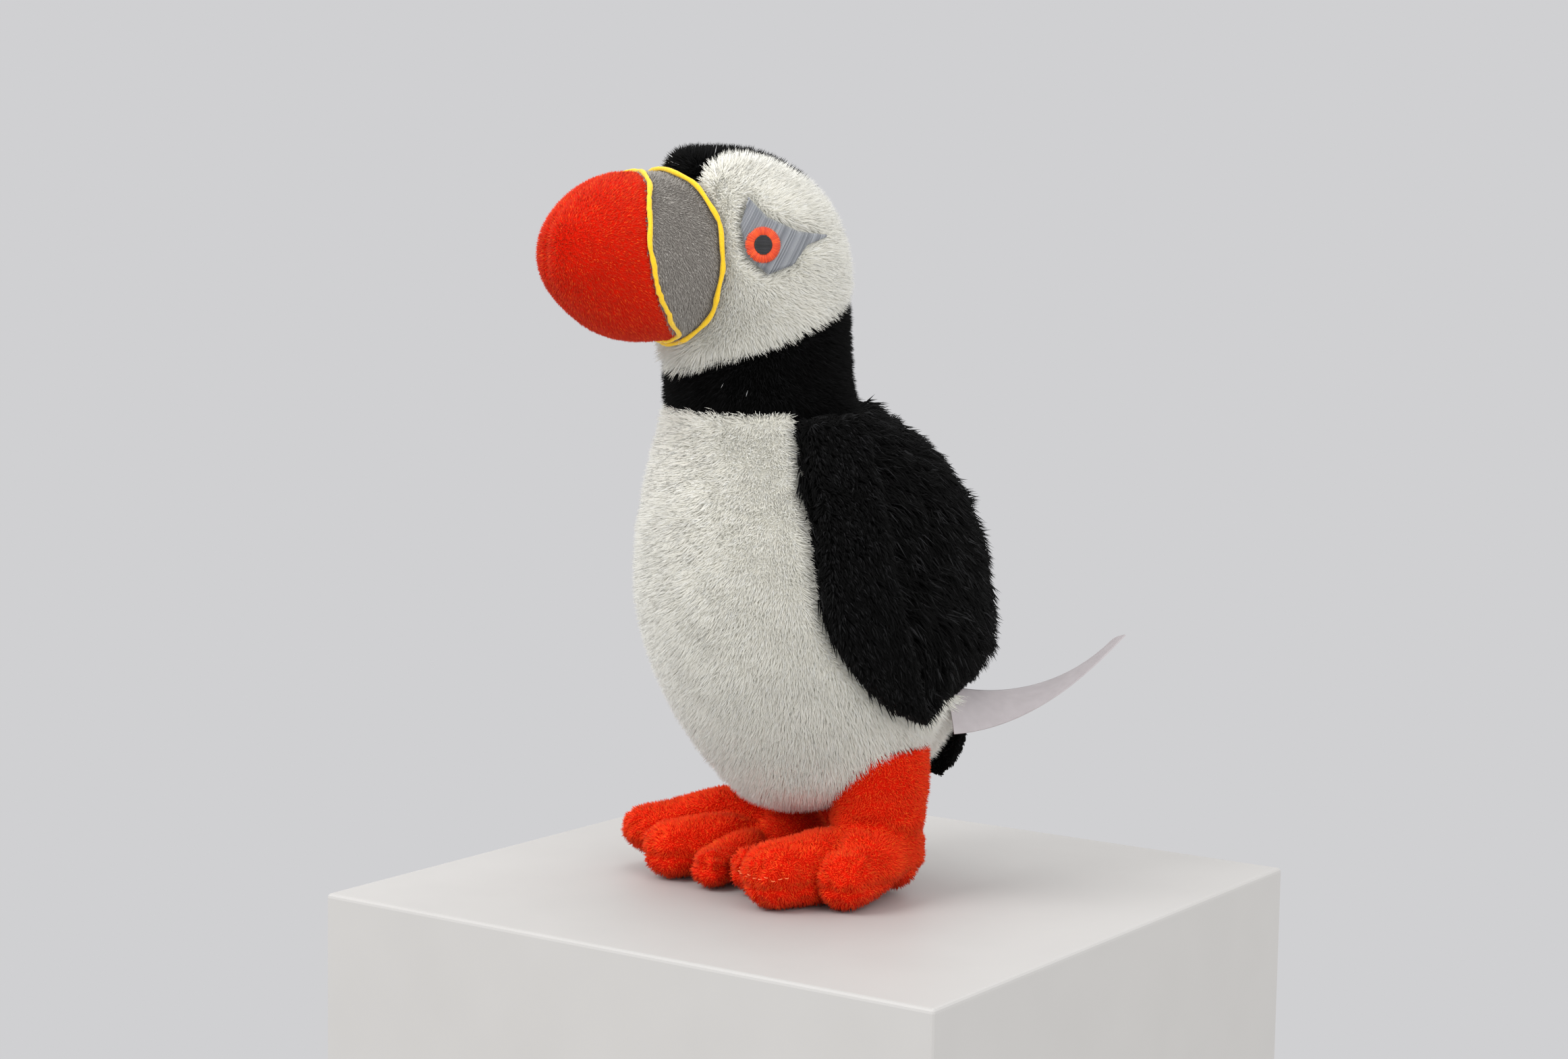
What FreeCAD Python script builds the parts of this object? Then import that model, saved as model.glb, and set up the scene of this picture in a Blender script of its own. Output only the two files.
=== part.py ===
import FreeCAD, Part
import math
import os
import Sketcher
from FreeCAD import Placement, Rotation, Vector

# Plush puffin, standing, about 212 mm tall. Millimetres, +Z up, the bird faces -Y and its own
# left side is +X. The panels are the sewn skin with its pile; what they enclose is the filling.
# Heights are above the floor and "behind" is measured back from the upright axis of the neck.

os.makedirs("parts", exist_ok=True)
doc = FreeCAD.newDocument("plush_puffin")
sizes = doc.addObject("Spreadsheet::Sheet", "sizes")
row_count = 0


def size(name, value):
    """One driving dimension: its name beside its value, which also carries the name as alias."""
    global row_count
    row_count += 1
    sizes.set(f"A{row_count}", name)
    sizes.set(f"B{row_count}", str(value))
    sizes.setAlias(f"B{row_count}", name)


# Cross-sections of head, neck and body, all ovals: height, half width, half depth, centre behind
# the neck axis. The half depth is never the smaller of the two.
BIRD_SECTIONS = {
    "seat": (21.5, 8, 9, 15),
    "rump": (28, 20, 22, 20),
    "thigh": (36, 30, 32.5, 23),
    "paunch": (45, 36, 39, 22.5),
    "belly": (60, 43, 49.2, 24),
    "girth": (81, 45.3, 54.2, 21.4),
    "breast": (104, 42, 52, 18.3),
    "shoulder": (126, 34, 42, 11.8),
    "neck_base": (139, 29, 29, 1.6),
    "neck": (150, 28, 28, 0.3),
    "jaw": (160, 28.4, 28.4, -1),
    "cheek": (171, 29.6, 29.6, -2.6),
    "eye_line": (181, 29.6, 29.6, -3.6),
    "brow": (190, 28, 28, -5.2),
    "forehead": (200, 23, 24, -8.6),
    "cap": (207, 15, 17, -13.5),
    "crest": (211.5, 6, 7, -15),
}
LONG_PILE_SECTIONS = ("belly", "girth", "breast", "shoulder")
# Ovals of the beak, front to back: place behind the neck axis, half width, half height, height.
BEAK_SECTIONS = {
    "beak_tip": (-69.5, 3.4, 3.8, 180.5),
    "beak_nose": (-67, 8.2, 9.2, 180.5),
    "beak_front": (-62.5, 13.4, 14.8, 180.5),
    "beak_bend": (-56.5, 17.9, 19.6, 180.5),
    "beak_swell": (-49, 21.3, 23.2, 180.2),
    "beak_crown": (-39.5, 22.7, 24.4, 179.8),
    "beak_root": (-30, 21.8, 24.2, 180),
    "beak_seat": (-16, 19.2, 22.5, 180.5),
}
for name, (height, half_width, half_depth, behind) in BIRD_SECTIONS.items():
    size(f"{name}_height", height)
    size(f"{name}_half_width", half_width)
    size(f"{name}_half_depth", half_depth)
    size(f"{name}_behind", behind)
for name, (behind, half_width, half_height, height) in BEAK_SECTIONS.items():
    size(f"{name}_behind", behind)
    size(f"{name}_half_width", half_width)
    size(f"{name}_half_height", half_height)
    size(f"{name}_height", height)

# Skin: cloth with its pile. The back carries the long pile, the beak and feet a very short one.
size("skin", 3)
size("back_pile_extra", 3.5)
size("velboa", 1.5)
size("body_clearance", 0.4)

# Seams, given as lines and arcs in the side view.
size("collar_low", 138)
size("cheek_seam_front", 149.5)
size("cheek_seam_rise", 22.5)
size("crown_half_width", 11.5)
size("crown_swell_radius", 110)
size("back_front_edge", -5.2)
size("back_seam_radius", 41)
size("back_low", 57)
size("side_seam_behind", 44)

# Beak seams with their raised piping.
size("grey_circle_radius", 27)
size("grey_circle_behind", -20.8)
size("grey_circle_height", 184)
size("piping_width", 1.8)
size("piping_rise", 0.7)

# Embroidered eyes, laid out in the plane that faces straight out from the cheek.
size("eye_side", 26.4)
size("eye_behind", -16.6)
size("eye_height", 183.7)
size("eye_turn", 26)
size("eye_ring_radius", 4.9)
size("pupil_radius", 2.4)
size("patch_top_rise", 11.8)
size("patch_bottom_drop", 7.4)
size("patch_front", 5.6)
size("patch_tail", 20)
size("patch_tail_rise", 2.8)

# Wings, in the side view: a straight leading edge that sweeps back to the tip.
size("wing_front", -6)
size("wing_rear", 12)
size("wing_top", 137)
size("wing_bend_height", 95)
size("wing_sweep_radius", 42.3)
size("wing_tip_behind", 31)
size("wing_tip_height", 53)
size("wing_rear_bend_height", 105)
size("wing_rear_radius", 80.7)
size("wing_lining", 1.6)
size("wing_plush", 3.4)

# Tail, a small stuffed flap on the rump, in the side view.
size("tail_seam_behind", 64)
size("tail_seam_height", 51)
size("tail_drop", 22)
size("tail_draw_in", 8)
size("tail_outer_radius", 15)
size("tail_inner_radius", 24)
size("tail_thickness", 4.2)
size("tail_half_width", 14)
size("tail_corner", 2)

# Care label, a bare satin ribbon in the left side seam.
size("label_length", 61)
size("label_width", 15)
size("label_thickness", 0.6)
size("label_radius", 80)
size("label_root_side", 31.5)
size("label_root_behind", 47.5)
size("label_root_height", 51.5)
size("label_pitch", -1)
size("label_root_roll", 58)
size("label_tip_roll", -24)
size("label_twist_early", 1.6)
size("label_yaw", 6)
size("label_spans", 5)

# Legs and feet. The left foot stands a little behind the right one.
size("leg_side", 21.5)
size("stance_skew", 3.5)
size("leg_foot_behind", 21)
size("leg_foot_half_width", 15.5)
size("leg_foot_half_depth", 22)
size("leg_foot_height", 12)
size("leg_top_behind", 25)
size("leg_top_half_width", 14)
size("leg_top_half_depth", 18)
size("leg_top_height", 46)
size("heel_behind", 26.5)
size("heel_radius", 16)
size("heel_height", 15.2)
size("sole_seam_height", 7.3)
size("left_inner_toe_angle", -30)
size("left_inner_toe_length", 33)
size("left_middle_toe_angle", -2.5)
size("left_middle_toe_length", 34)
size("left_outer_toe_angle", 28)
size("left_outer_toe_length", 22)
size("right_inner_toe_angle", -22)
size("right_inner_toe_length", 32)
size("right_middle_toe_angle", 10)
size("right_middle_toe_length", 33.5)
size("right_outer_toe_angle", 37)
size("right_outer_toe_length", 35.5)
size("inner_toe_radius", 7)
size("middle_toe_radius", 9.5)
size("outer_toe_radius", 9.2)
size("toe_press", 1.6)

# Pellet bag that weights the seat.
size("pellet_radius", 21)
size("pellet_half_height", 13)
size("pellet_height", 42)

# The whole bird is set back by this much, so that the frame's origin is the middle of its box.
size("frame_shift", -18.5)
size("tool_reach", 250)
doc.recompute()


def value(text):
    """The present value of an expression in the sheet's names."""
    result = sizes.evalExpression(text)
    return float(getattr(result, "Value", result))


def bind(obj, **expressions):
    """Ties properties to expressions; a double underscore in a name stands for a dot."""
    for prop, expression in expressions.items():
        obj.setExpression(prop.replace("__", "."), expression)


def place(obj, x="0", y="0", z="0", rotation=None):
    """Puts an object at x, behind, height in the bird's own axes, with the common frame shift."""
    if rotation is not None:
        obj.Placement = Placement(Vector(), rotation)
    bind(obj, Placement__Base__x=x, Placement__Base__z=z)
    bind(obj, Placement__Base__y=f"({y}) + sizes.frame_shift")


def oval(name, across, deep, start, rotation, **position):
    """A closed oval edge whose long axis is local X. It begins at the angle start, off the bird's
    middle plane, so that no panel is cut along the join of a lofted surface."""
    edge = Part.Ellipse(Vector(), value(deep), value(across))
    begin = math.radians(start)
    outline = doc.addObject("Part::Feature", name)
    outline.Shape = edge.toShape(begin, begin + 2 * math.pi)
    place(outline, rotation=rotation, **position)
    return outline


def bird_loft(name, grow, rear="0"):
    """The whole skin from seat to crest, grown outwards by an expression. rear moves the back of
    the sections that carry the long pile outwards, and leaves their front where it is."""
    ovals = []
    last = len(BIRD_SECTIONS) - 1
    for index, section in enumerate(BIRD_SECTIONS):
        lift = {0: f" - ({grow})", last: f" + ({grow})"}.get(index, "")
        swell = f"({rear}) / 2" if section in LONG_PILE_SECTIONS else "0"
        ovals.append(oval(
            f"{name}_{section}",
            f"sizes.{section}_half_width + ({grow})",
            f"sizes.{section}_half_depth + ({grow}) + {swell}",
            start=20,
            rotation=Rotation(Vector(0, 0, 1), 90),
            y=f"sizes.{section}_behind + {swell}",
            z=f"sizes.{section}_height{lift}",
        ))
    return loft(name, ovals)


def beak_loft(name, grow):
    """The beak's round form, grown outwards by an expression."""
    ovals = []
    for index, section in enumerate(BEAK_SECTIONS):
        forward = f" - ({grow})" if index == 0 else ""
        ovals.append(oval(
            f"{name}_{section}",
            f"sizes.{section}_half_width + ({grow})",
            f"sizes.{section}_half_height + ({grow})",
            start=25,
            rotation=Rotation(Vector(1, 1, 1), 240),
            y=f"sizes.{section}_behind{forward}",
            z=f"sizes.{section}_height",
        ))
    return loft(name, ovals)


def loft(name, sections):
    solid = doc.addObject("Part::Loft", name)
    solid.Sections = sections
    solid.Solid = True
    solid.Ruled = False
    return solid


def cut(name, base, *tools):
    for index, tool in enumerate(tools):
        step = doc.addObject("Part::Cut", name if tool is tools[-1] else f"{name}_less_{index}")
        step.Base = base
        step.Tool = tool
        base = step
    return base


def common(name, base, *tools):
    for index, tool in enumerate(tools):
        step = doc.addObject("Part::Common", name if tool is tools[-1] else f"{name}_in_{index}")
        step.Base = base
        step.Tool = tool
        base = step
    return base


def fuse(name, *shapes):
    whole = doc.addObject("Part::MultiFuse", name)
    whole.Shapes = list(shapes)
    return whole


def fill_sketch(sketch, corners, radii):
    """A closed outline through corners given as pairs of expressions. radii maps the index of an
    edge to its radius; the sign says which way it bulges: + is an arc turning left."""
    points = [Vector(value(across), value(up), 0) for across, up in corners]
    count = len(points)
    ends = []
    for index in range(count):
        start, end = points[index], points[(index + 1) % count]
        bend = radii.get(index)
        if bend is None:
            sketch.addGeometry(Part.LineSegment(start, end), False)
            ends.append((1, 2))
            continue
        turns_left = not bend.startswith("-")
        radius = value(bend.lstrip("-"))
        chord = end - start
        normal = Vector(-chord.y, chord.x, 0).normalize() * (1 if turns_left else -1)
        centre = (start + end) * 0.5 + normal * max(radius**2 - chord.Length**2 / 4, 0) ** 0.5
        first, second = (start, end) if turns_left else (end, start)
        turn = [Vector(1, 0, 0).getAngle(p - centre) * (1 if p.y >= centre.y else -1)
                for p in (first, second)]
        circle = Part.Circle(centre, Vector(0, 0, 1), radius)
        sketch.addGeometry(Part.ArcOfCircle(circle, turn[0], turn[1]), False)
        ends.append((1, 2) if turns_left else (2, 1))
    for index in range(count):
        following = (index + 1) % count
        sketch.addConstraint(Sketcher.Constraint(
            "Coincident", index, ends[index][1], following, ends[following][0]))
    for index, (across, up) in enumerate(corners):
        for kind, expression in (("DistanceX", across), ("DistanceY", up)):
            number = sketch.addConstraint(Sketcher.Constraint(
                kind, -1, 1, index, ends[index][0], value(expression)))
            sketch.setExpression(f"Constraints[{number}]", expression)
    for index, bend in radii.items():
        number = sketch.addConstraint(Sketcher.Constraint(
            "Radius", index, value(bend.lstrip("-"))))
        sketch.setExpression(f"Constraints[{number}]", bend.lstrip("-"))


def body_sketch(body, plane, corners, radii):
    """A sketch on one of the body's own origin planes."""
    sketch = body.newObject("Sketcher::SketchObject", f"{body.Name}_outline")
    origin_plane = [f for f in body.Origin.OriginFeatures if f.Role == plane][0]
    sketch.AttachmentSupport = [(origin_plane, "")]
    sketch.MapMode = "FlatFace"
    fill_sketch(sketch, corners, radii or {})
    return sketch


def side_region(name, corners, radii=None):
    """A region of the side view, behind and height, running right through the bird along X."""
    body = doc.addObject("PartDesign::Body", name)
    sketch = body_sketch(body, "YZ_Plane", corners, radii)
    pad = body.newObject("PartDesign::Pad", f"{name}_pad")
    pad.Profile = sketch
    pad.Midplane = True
    bind(pad, Length="sizes.tool_reach * 2")
    place(body)
    return body


def half_space(name, x="-sizes.tool_reach", y="-sizes.tool_reach", z="0"):
    """A large box whose low corner is at x, behind and height."""
    box = doc.addObject("Part::Box", name)
    bind(box, Length="sizes.tool_reach * 2", Width="sizes.tool_reach * 2")
    bind(box, Height="sizes.tool_reach * 2")
    place(box, x=x, y=y, z=z)
    return box


SIDES = {"left": 1, "right": -1}
left_half = half_space("left_half", x="0", z="-sizes.tool_reach")
right_half = half_space("right_half", x="-2 * sizes.tool_reach", z="-sizes.tool_reach")
halves = {"left": left_half, "right": right_half}
above_floor = half_space("above_floor")
pieces = {}

# Head, neck and body are one hollow skin, cut into panels along the seams.
bird_outside = bird_loft("bird_outside", "0")
bird_inside = bird_loft("bird_inside", "-sizes.skin", rear="-sizes.back_pile_extra")
bird_skin = cut("bird_skin", bird_outside, bird_inside)

near = "-sizes.tool_reach"
far = "sizes.tool_reach"
seam_slope = "sizes.cheek_seam_rise / (2 * sizes.neck_half_depth)"
cheek_low = f"sizes.cheek_seam_front - (sizes.tool_reach - sizes.neck_half_depth) * {seam_slope}"
cheek_high = f"sizes.cheek_seam_front + (sizes.tool_reach + sizes.neck_half_depth) * {seam_slope}"
head_region = side_region(
    "head_region",
    [(near, cheek_low), (far, cheek_high), (far, "2 * sizes.tool_reach"), (near, "2 * sizes.tool_reach")],
)
above_collar = half_space("above_collar", z="sizes.collar_low")
back_bend = "sizes.back_low + sizes.back_seam_radius"
back_region = side_region(
    "back_region",
    [
        ("sizes.back_front_edge", "sizes.collar_low"),
        ("sizes.back_front_edge", back_bend),
        ("sizes.back_front_edge + sizes.back_seam_radius", "sizes.back_low"),
        (far, "sizes.back_low"),
        (far, "sizes.collar_low"),
    ],
    {1: "sizes.back_seam_radius"},
)
rear_region = half_space("rear_region", y="sizes.side_seam_behind", z="-sizes.tool_reach")

head_skin = common("head_skin", bird_skin, head_region)
collar_skin = cut("collar_skin", common("high_skin", bird_skin, above_collar), head_region)
trunk_skin = cut("trunk_skin", bird_skin, above_collar)
pieces["neck_collar"] = collar_skin
pieces["back_panel"] = common("back_skin", trunk_skin, back_region)
white_skin = cut("white_skin", trunk_skin, back_region)
pieces["rump_panel"] = common("rump_skin", white_skin, rear_region)
belly_skin = cut("belly_skin", white_skin, rear_region)
for side in SIDES:
    pieces[f"belly_panel_{side}"] = common(f"belly_{side}_skin", belly_skin, halves[side])

# Crown: a strip over the head that swells above the eyes and narrows down the nape.
crown_tool = doc.addObject("PartDesign::Body", "crown_tool")
crown_sketch = body_sketch(
    crown_tool,
    "XY_Plane",
    [
        ("sizes.crown_half_width", "-sizes.neck_half_depth * 1.4"),
        ("sizes.crown_half_width", "sizes.neck_half_depth * 1.1"),
        ("-sizes.crown_half_width", "sizes.neck_half_depth * 1.1"),
        ("-sizes.crown_half_width", "-sizes.neck_half_depth * 1.4"),
    ],
    {0: "sizes.crown_swell_radius", 2: "sizes.crown_swell_radius"},
)
crown_pad = crown_tool.newObject("PartDesign::Pad", "crown_tool_pad")
crown_pad.Profile = crown_sketch
bind(crown_pad, Length="sizes.tool_reach")
place(crown_tool, z="sizes.cheek_height")
pieces["crown_panel"] = None

# Beak: a puffed velboa form on the face, grey behind and orange in front, with piping in both seams.
beak_outside = beak_loft("beak_outside", "0")
beak_inside = beak_loft("beak_inside", "-sizes.velboa")
beak_raised = beak_loft("beak_raised", "sizes.piping_rise")
face_front = bird_loft("face_front", "sizes.piping_width")


def seam_cylinder(name, grow):
    """A cylinder across the beak whose rim is the curved seam between grey and orange."""
    rod = doc.addObject("Part::Cylinder", name)
    bind(rod, Radius=f"sizes.grey_circle_radius + ({grow})", Height="sizes.tool_reach")
    place(
        rod,
        x="-sizes.tool_reach / 2",
        y="sizes.grey_circle_behind",
        z="sizes.grey_circle_height",
        rotation=Rotation(Vector(0, 1, 0), 90),
    )
    return rod


grey_zone = seam_cylinder("grey_zone", "0")
piping_zone = seam_cylinder("piping_zone", "sizes.piping_width")
beak_skin = cut("beak_skin", beak_outside, beak_inside, face_front)
raised_skin = cut("raised_skin", beak_raised, beak_inside)
orange_skin = cut("orange_skin", beak_skin, piping_zone)
grey_skin = common("grey_skin", beak_skin, grey_zone)
for side in SIDES:
    pieces[f"beak_tip_{side}"] = common(f"orange_{side}_skin", orange_skin, halves[side])
    pieces[f"beak_band_{side}"] = common(f"grey_{side}_skin", grey_skin, halves[side])
raised_front = cut("raised_front", raised_skin, face_front)
piping_tube = cut("piping_tube", piping_zone, grey_zone)
pieces["beak_front_piping"] = common("front_piping", raised_front, piping_tube)
rear_ring = common("rear_ring", raised_skin, face_front)
pieces["beak_rear_piping"] = cut("rear_piping", rear_ring, bird_outside)
pieces["beak_stuffing"] = cut("beak_filling", beak_inside, bird_inside)

closed_head_skin = cut("closed_head_skin", head_skin, beak_inside)
pieces["crown_panel"] = common("crown_skin", closed_head_skin, crown_tool)
face_skin = cut("face_skin", closed_head_skin, crown_tool)


def cheek_prism(name, side, corners, radii):
    """An outline drawn in the plane facing out from the cheek, run inwards through the skin."""
    body = doc.addObject("PartDesign::Body", name)
    sign = SIDES[side]
    flipped = corners if sign > 0 else [(f"-({across})", up) for across, up in corners]
    bends = radii if sign > 0 else {
        index: bend.lstrip("-") if bend.startswith("-") else f"-{bend}"
        for index, bend in radii.items()
    }
    sketch = body_sketch(body, "XZ_Plane", flipped, bends)
    pad = body.newObject("PartDesign::Pad", f"{name}_pad")
    pad.Profile = sketch
    pad.Midplane = True
    bind(pad, Length="sizes.skin * 6")
    place(
        body,
        x=f"{sign} * sizes.eye_side",
        y="sizes.eye_behind",
        z="sizes.eye_height",
        rotation=Rotation(Vector(0, 0, 1), sign * (90 - value("sizes.eye_turn"))),
    )
    return body


def cheek_rod(name, side, radius):
    """A round rod through the skin at the eye, square to the cheek."""
    rod = doc.addObject("Part::Cylinder", name)
    bind(rod, Radius=radius, Height="sizes.skin * 6")
    sign = SIDES[side]
    turn = "sizes.eye_turn * 1 deg"
    outward = math.radians(value("sizes.eye_turn"))
    place(
        rod,
        x=f"{sign} * (sizes.eye_side - sizes.skin * 3 * cos({turn}))",
        y=f"sizes.eye_behind + sizes.skin * 3 * sin({turn})",
        z="sizes.eye_height",
        rotation=Rotation(Vector(0, 0, 1), Vector(sign * math.cos(outward), -math.sin(outward), 0)),
    )
    return rod


# Eyes: satin-stitched through the face cloth, a grey patch, an orange ring and a black pupil.
patch_corners = [
    ("-sizes.patch_front", "sizes.patch_top_rise * 0.42"),
    ("-sizes.patch_front * 0.6", "-sizes.patch_bottom_drop * 0.35"),
    ("sizes.patch_front * 0.3", "-sizes.patch_bottom_drop"),
    ("sizes.patch_front * 1.5", "-sizes.patch_bottom_drop * 0.65"),
    ("sizes.patch_tail * 0.62", "sizes.patch_tail_rise * 0.15"),
    ("sizes.patch_tail", "sizes.patch_tail_rise"),
    ("sizes.patch_tail * 0.5", "sizes.patch_tail_rise * 1.1"),
    ("sizes.patch_front * 0.15", "sizes.patch_top_rise * 0.58"),
    ("-sizes.patch_front * 0.65", "sizes.patch_top_rise"),
]
for side in SIDES:
    patch_tool = cheek_prism(f"patch_tool_{side}", side, patch_corners, {})
    ring_tool = cheek_rod(f"ring_tool_{side}", side, "sizes.eye_ring_radius")
    pupil_tool = cheek_rod(f"pupil_tool_{side}", side, "sizes.pupil_radius")
    cheek = common(f"cheek_{side}", face_skin, halves[side])
    patch = cut(f"eye_patch_{side}_skin", common(f"patch_area_{side}", cheek, patch_tool), ring_tool)
    ring = cut(f"eye_ring_{side}_skin", common(f"ring_area_{side}", cheek, ring_tool), pupil_tool)
    pieces[f"eye_patch_{side}"] = patch
    pieces[f"eye_ring_{side}"] = ring
    pieces[f"eye_pupil_{side}"] = common(f"eye_pupil_{side}_skin", cheek, pupil_tool)
    pieces[f"face_panel_{side}"] = cut(f"face_{side}_skin", cheek, patch_tool, ring_tool)

# Filling of head and body, and the bag of pellets that gives the seat its weight.
neck_cut = half_space("neck_cut", z="sizes.neck_height")
pieces["head_stuffing"] = common("head_filling", bird_inside, neck_cut)
pellet_bag = doc.addObject("Part::Ellipsoid", "pellet_bag_body")
bind(pellet_bag, Radius1="sizes.pellet_half_height", Radius2="sizes.pellet_radius")
bind(pellet_bag, Radius3="sizes.pellet_radius")
place(pellet_bag, y="sizes.paunch_behind", z="sizes.pellet_height")
pieces["pellet_bag"] = pellet_bag
pieces["body_stuffing"] = cut("body_filling", bird_inside, neck_cut, pellet_bag)

# Wings: plush outside and a thin lining, lying on the flanks and sewn along the shoulder.
wing_clear = bird_loft("wing_clear", "sizes.body_clearance")
wing_middle = bird_loft("wing_middle", "sizes.body_clearance + sizes.wing_lining")
wing_face = bird_loft("wing_face", "sizes.body_clearance + sizes.wing_lining + sizes.wing_plush")
lining_layer = cut("lining_layer", wing_middle, wing_clear)
plush_layer = cut("plush_layer", wing_face, wing_middle)
wing_region = side_region(
    "wing_region",
    [
        ("sizes.wing_front", "sizes.wing_top"),
        ("sizes.wing_front", "sizes.wing_bend_height"),
        ("sizes.wing_tip_behind", "sizes.wing_tip_height"),
        ("sizes.wing_rear", "sizes.wing_rear_bend_height"),
        ("sizes.wing_rear", "sizes.wing_top"),
    ],
    {1: "sizes.wing_sweep_radius", 2: "-sizes.wing_rear_radius"},
)
lining = common("both_linings", lining_layer, wing_region)
plush = common("both_wings", plush_layer, wing_region)
for side in SIDES:
    pieces[f"wing_{side}_lining"] = common(f"lining_{side}", lining, halves[side])
    pieces[f"wing_{side}_plush"] = common(f"plush_{side}", plush, halves[side])

# Tail: a small stuffed flap that bows away from the rump and draws in at its end.
tail = doc.addObject("PartDesign::Body", "tail_body")
tail_end = "sizes.tail_seam_behind - sizes.tail_draw_in"
tail_low = "sizes.tail_seam_height - sizes.tail_drop"
tail_profile = body_sketch(
    tail,
    "YZ_Plane",
    [
        ("sizes.tail_seam_behind", "sizes.tail_seam_height"),
        (tail_end, tail_low),
        ("sizes.tail_seam_behind + sizes.tail_thickness * 0.6", "sizes.tail_seam_height + 1"),
    ],
    {0: "-sizes.tail_inner_radius", 1: "sizes.tail_outer_radius"},
)
tail_pad = tail.newObject("PartDesign::Pad", "tail_pad")
tail_pad.Profile = tail_profile
tail_pad.Midplane = True
bind(tail_pad, Length="sizes.tail_half_width * 2")
place(tail)
pieces["tail"] = cut("tail_trimmed", tail, wing_clear)

# Care label: a bare ribbon that leaves the left side seam upright, curls upwards and turns flat.
span_count = int(value("sizes.label_spans"))
ribbon = []
for index in range(span_count + 1):
    share = index / span_count
    section = doc.addObject("Part::Plane", f"label_section_{index}")
    bind(section, Length="sizes.label_width", Width="sizes.label_thickness")
    turned = f"({share} * sizes.label_length / sizes.label_radius * 1 rad)"
    forward = f"sizes.label_radius * sin({turned})"
    lifted = f"sizes.label_radius * (1 - cos({turned}))"
    left = f"({1 - share}) ^ sizes.label_twist_early"
    roll = value(f"sizes.label_tip_roll + {left} * (sizes.label_root_roll - sizes.label_tip_roll)")
    pitch = value(f"sizes.label_pitch + {share} * sizes.label_length / sizes.label_radius * 180 / pi")
    aim = Rotation(Vector(0, 0, 1), -value("sizes.label_yaw")) * Rotation(Vector(1, 0, 0), pitch)
    turn = aim * Rotation(Vector(0, 1, 0), roll) * Rotation(Vector(1, 0, 0), 90)
    corner = turn.multVec(Vector(value("sizes.label_width"), value("sizes.label_thickness"), 0) * -0.5)
    along = "cos(sizes.label_yaw * 1 deg)"
    aside = "sin(sizes.label_yaw * 1 deg)"
    level = f"({forward} * cos(sizes.label_pitch * 1 deg) - {lifted} * sin(sizes.label_pitch * 1 deg))"
    upward = f"({forward} * sin(sizes.label_pitch * 1 deg) + {lifted} * cos(sizes.label_pitch * 1 deg))"
    place(
        section,
        x=f"sizes.label_root_side + {level} * {aside} + {corner.x}",
        y=f"sizes.label_root_behind + {level} * {along} + {corner.y}",
        z=f"sizes.label_root_height + {upward} + {corner.z}",
        rotation=turn,
    )
    ribbon.append(section)
pieces["care_label"] = cut("label_trimmed", loft("label_ribbon", ribbon), wing_clear)


def toe(name, length, start_radius, end_radius):
    """A blunt tapered tube along local X, from the heel to the toe's round end."""
    body = doc.addObject("PartDesign::Body", name)
    sketch = body_sketch(
        body,
        "XY_Plane",
        [
            (f"-({start_radius})", "0"),
            (f"({length}) + ({end_radius})", "0"),
            (length, end_radius),
            ("0", start_radius),
        ],
        {1: end_radius, 3: start_radius},
    )
    turned = body.newObject("PartDesign::Revolution", f"{name}_turned")
    turned.Profile = sketch
    turned.ReferenceAxis = (sketch, ["H_Axis"])
    turned.Angle = 360
    return body


def foot(side, wall):
    """Three toes that spread from one heel, pressed flat where they stand. wall insets them."""
    sign = SIDES[side]
    toes = []
    for kind in ("inner", "middle", "outer"):
        length = f"sizes.{side}_{kind}_toe_length"
        radius = f"sizes.{kind}_toe_radius"
        name = f"{kind}_toe_{side}_{'inside' if wall != '0' else 'outside'}"
        body = toe(name, length, f"sizes.heel_radius - ({wall})", f"{radius} - ({wall})")
        tip_height = value(f"{radius} - sizes.toe_press")
        fall = value("sizes.heel_height") - tip_height
        dip = math.degrees(math.atan2(fall, value(length)))
        heading = -90 + sign * value(f"sizes.{side}_{kind}_toe_angle")
        place(
            body,
            x=f"{sign} * sizes.leg_side",
            y=f"sizes.heel_behind + {sign} * sizes.stance_skew",
            z="sizes.heel_height",
            rotation=Rotation(heading, dip, 0),
        )
        toes.append(body)
    return toes


# Feet and legs: velboa feet in two halves, sole and upper, on short stuffed legs.
above_floor_inside = half_space("above_floor_inside", z="sizes.velboa")
above_sole = half_space("above_sole", z="sizes.sole_seam_height")
for side, sign in SIDES.items():
    standing = common(f"foot_standing_{side}", fuse(f"foot_whole_{side}", *foot(side, "0")), above_floor)
    outside = cut(f"foot_outside_{side}", standing, bird_outside)
    inner = fuse(f"foot_core_{side}", *foot(side, "sizes.velboa"))
    core = common(f"foot_core_standing_{side}", inner, above_floor_inside)
    inside = cut(f"foot_inside_{side}", core, bird_outside)
    skin = cut(f"foot_skin_{side}", outside, inside)
    pieces[f"foot_upper_{side}"] = common(f"foot_upper_{side}_skin", skin, above_sole)
    pieces[f"sole_{side}"] = cut(f"sole_{side}_skin", skin, above_sole)
    pieces[f"foot_stuffing_{side}"] = inside
    ovals = []
    for level in ("foot", "top"):
        oval = doc.addObject("Part::Ellipse", f"leg_{side}_{level}")
        bind(oval, MajorRadius=f"sizes.leg_{level}_half_depth")
        bind(oval, MinorRadius=f"sizes.leg_{level}_half_width")
        place(
            oval,
            x=f"{sign} * sizes.leg_side",
            y=f"sizes.leg_{level}_behind + {sign} * sizes.stance_skew",
            z=f"sizes.leg_{level}_height",
            rotation=Rotation(Vector(0, 0, 1), 90),
        )
        ovals.append(oval)
    pieces[f"leg_{side}"] = cut(f"leg_{side}_tube", loft(f"leg_{side}_loft", ovals), outside, bird_outside)

doc.recompute()

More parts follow.
